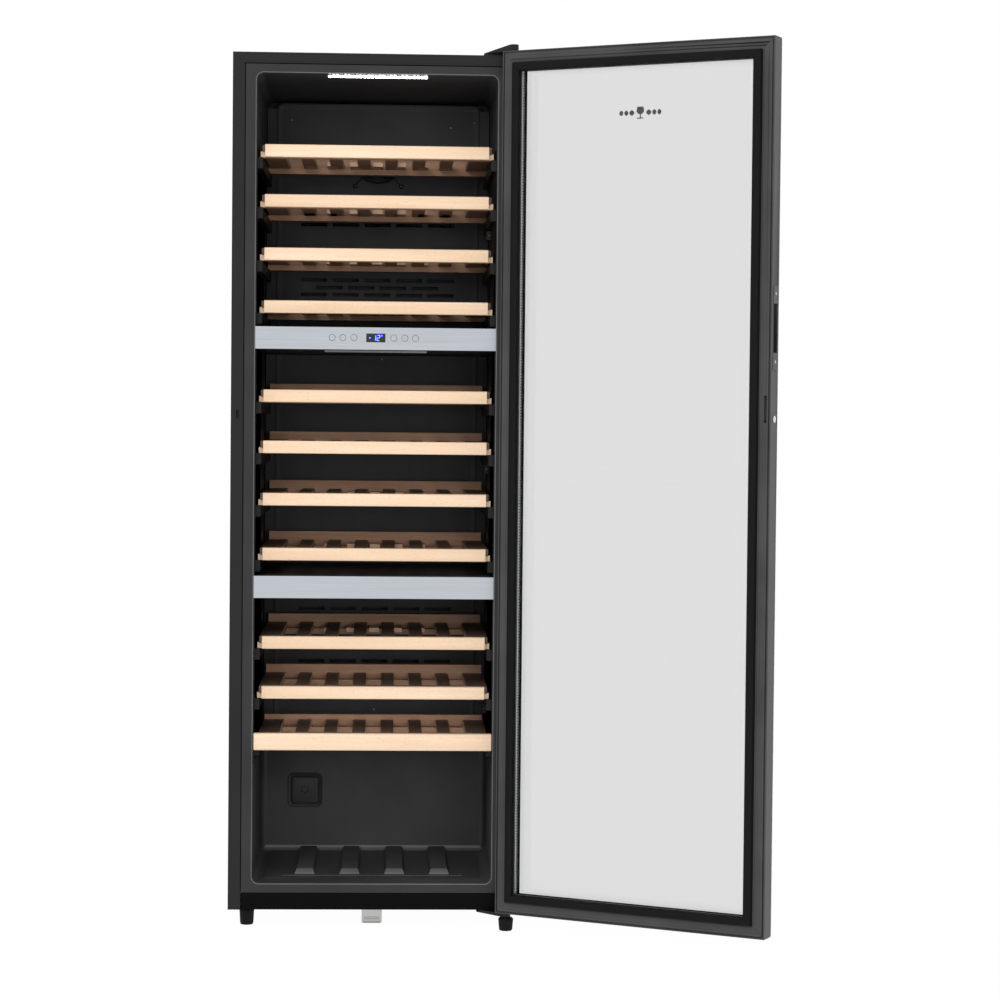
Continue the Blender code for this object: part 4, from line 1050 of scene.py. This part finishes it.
def gasket():
    """The magnetic seal: four mitred lengths with a soft bellows shape."""
    low, high = closed_box("door_gasket")
    outer, width = DOOR_SIDE - high.x, 0.0175
    base, face = low.y, high.y
    half = [(0.0, base), (0.0004, base + 0.0030), (0.0016, base + 0.0036), (0.0014, base + 0.0058),
            (0.0004, face - 0.0040), (0.0010, face - 0.0010), (0.0030, face)]
    profile = [(outer + o, y) for o, y in half] + [(outer + width - o, y) for o, y in reversed(half)]
    bm = bmesh.new()
    add_mitred(bm, DOOR_SIDE, DOOR_LOW.z, DOOR_HIGH.z, profile, 0.0002)
    piece("door_gasket_piece", bm, "gasket_rubber", "door", ("door_gasket",), edge=0.0004)


def door_fittings():
    """The grip cup with its two screws, and the lock's barrel."""
    refined("handle_insert", 0.0008, 3)
    refined("lock_barrel", 0.0004)
    low, high = closed_box("handle_insert")
    bm = bmesh.new()
    middle = (low.y + high.y) / 2
    for z in (low.z + 0.016, high.z - 0.016):
        profile = ((0, 0.0002), (0.0010, 0.0002), (0.0014, 0.0008), (0.0026, 0.0006), (0.0030, 0.0002),
                   (0.0030, -0.0003), (0, -0.0003))
        add_lathe(bm, [(radius, -height) for radius, height in profile], (low.x, middle, z), "X", 16)
    piece("handle_screws", bm, "zinc", "door", look=SCREW)


# ---- machinery and back ------------------------------------------------------------------------
def machinery():
    """Rounded grille, inlet, keeper and fans, the grille's screws and the compressor's terminal box."""
    for node, edge in (("compressor_cover", 0.0004), ("mains_inlet", 0.0005), ("lock_keeper", 0.0003),
                       ("fan_upper", 0.0004), ("fan_lower", 0.0004)):
        refined(node, edge)
    low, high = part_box("compressor_cover")
    bm = bmesh.new()
    for x in (low.x + 0.010, 0.062, high.x - 0.010):
        for z in (low.z + 0.010, high.z - 0.010):
            add_lathe(bm, ((0, -0.0013), (0.0026, -0.0012), (0.0036, -0.0004), (0.0036, 0.0003), (0, 0.0003)),
                      (x, high.y, z), "Y", 16)
    piece("cover_screws", bm, "zinc", look=SCREW)
    low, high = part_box("compressor")
    middle = (low.y + high.y) / 2
    bm = bmesh.new()
    add_block(bm, (high.x - 0.004, high.x + 0.012), (middle - 0.020, middle + 0.020),
              (low.z + 0.060, low.z + 0.115))
    piece("terminal_box", bm, "inlet_plastic", edge=0.002, segments=3)


casing()
liner()
floor_mat()
rails()
duct_panels()
fan_guard()
sensors()
filter_cap()
fascias()
display()
lamps()
for number in range(1, 12):
    shelf(f"shelf_{number:02d}")
fixings()
for corner in ("front_left", "front_right", "rear_left", "rear_right"):
    foot("foot_" + corner)
door_frame()
glass_unit()
glass_mark()
gasket()
door_fittings()
machinery()


# ---- camera, stage and light -------------------------------------------------------------------
EYE = (0.0249, FRONT - 5.4106, 1.0552)
YAW, PITCH, ROLL = 2.485, 1.744, 0.545    # degrees: to the right, down, and about the line of sight
FOCAL_LENGTH = 94.12                      # millimetres, on a sensor 36 mm wide
FLOOR_REACH = 40.0


def camera():
    """The viewing angle: a little right of the cabinet's middle, at chest height, turned slightly right."""
    yaw, pitch, roll = math.radians(YAW), math.radians(PITCH), math.radians(ROLL)
    ahead = Vector((math.sin(yaw) * math.cos(pitch), math.cos(yaw) * math.cos(pitch), -math.sin(pitch)))
    level = Vector((math.cos(yaw), -math.sin(yaw), 0))
    upright = level.cross(ahead)
    right = math.cos(roll) * level + math.sin(roll) * upright
    up = -math.sin(roll) * level + math.cos(roll) * upright
    data = bpy.data.cameras.new("camera")
    data.lens = FOCAL_LENGTH
    data.sensor_width = 36.0
    obj = linked("camera", data)
    turn = Matrix((right, up, -ahead)).transposed().to_4x4()
    obj.matrix_world = Matrix.Translation(EYE) @ turn
    bpy.context.scene.camera = obj


def stage():
    """A pale floor, as bright as the world around it."""
    bm = bmesh.new()
    corners = ((-1, -1), (1, -1), (1, 1), (-1, 1))
    bm.faces.new([bm.verts.new((x * FLOOR_REACH, y * FLOOR_REACH, 0.0)) for x, y in corners])
    mesh = bpy.data.meshes.new("floor")
    bm.to_mesh(mesh)
    bm.free()
    floor = linked("floor", mesh)
    look = Look("pale_floor", (0.02, 0.02, 0.02), 0.9)
    look.set("Emission Color", (1.0, 1.0, 1.0, 1.0))
    look.set("Emission Strength", 0.98)
    look.set("Specular IOR Level", 0.0)
    paint(floor, look)


def softbox(name, position, target, size, power):
    """A square light that the glass and the metal don't mirror."""
    data = bpy.data.lights.new(name, "AREA")
    data.shape = "RECTANGLE"
    data.size = size
    data.size_y = size
    data.energy = power
    obj = linked(name, data)
    obj.visible_glossy = False
    obj.visible_transmission = False
    aim = Vector(target) - Vector(position)
    obj.matrix_world = Matrix.Translation(position) @ aim.to_track_quat("-Z", "Y").to_matrix().to_4x4()


def lights():
    """An even white studio with two soft lights beside the camera."""
    world = bpy.data.worlds.new("studio")
    world.use_nodes = True
    world.node_tree.nodes["Background"].inputs["Color"].default_value = (1, 1, 1, 1)
    world.node_tree.nodes["Background"].inputs["Strength"].default_value = 1.0
    bpy.context.scene.world = world
    softbox("key", (-0.9, -3.6, 2.2), (0.0, 0, 1.1), 1.4, 60)
    softbox("fill", (0.7, -3.8, 0.9), (0.0, 0, 0.8), 1.2, 36)
    bpy.context.scene.view_settings.view_transform = "Standard"


camera()
stage()
lights()
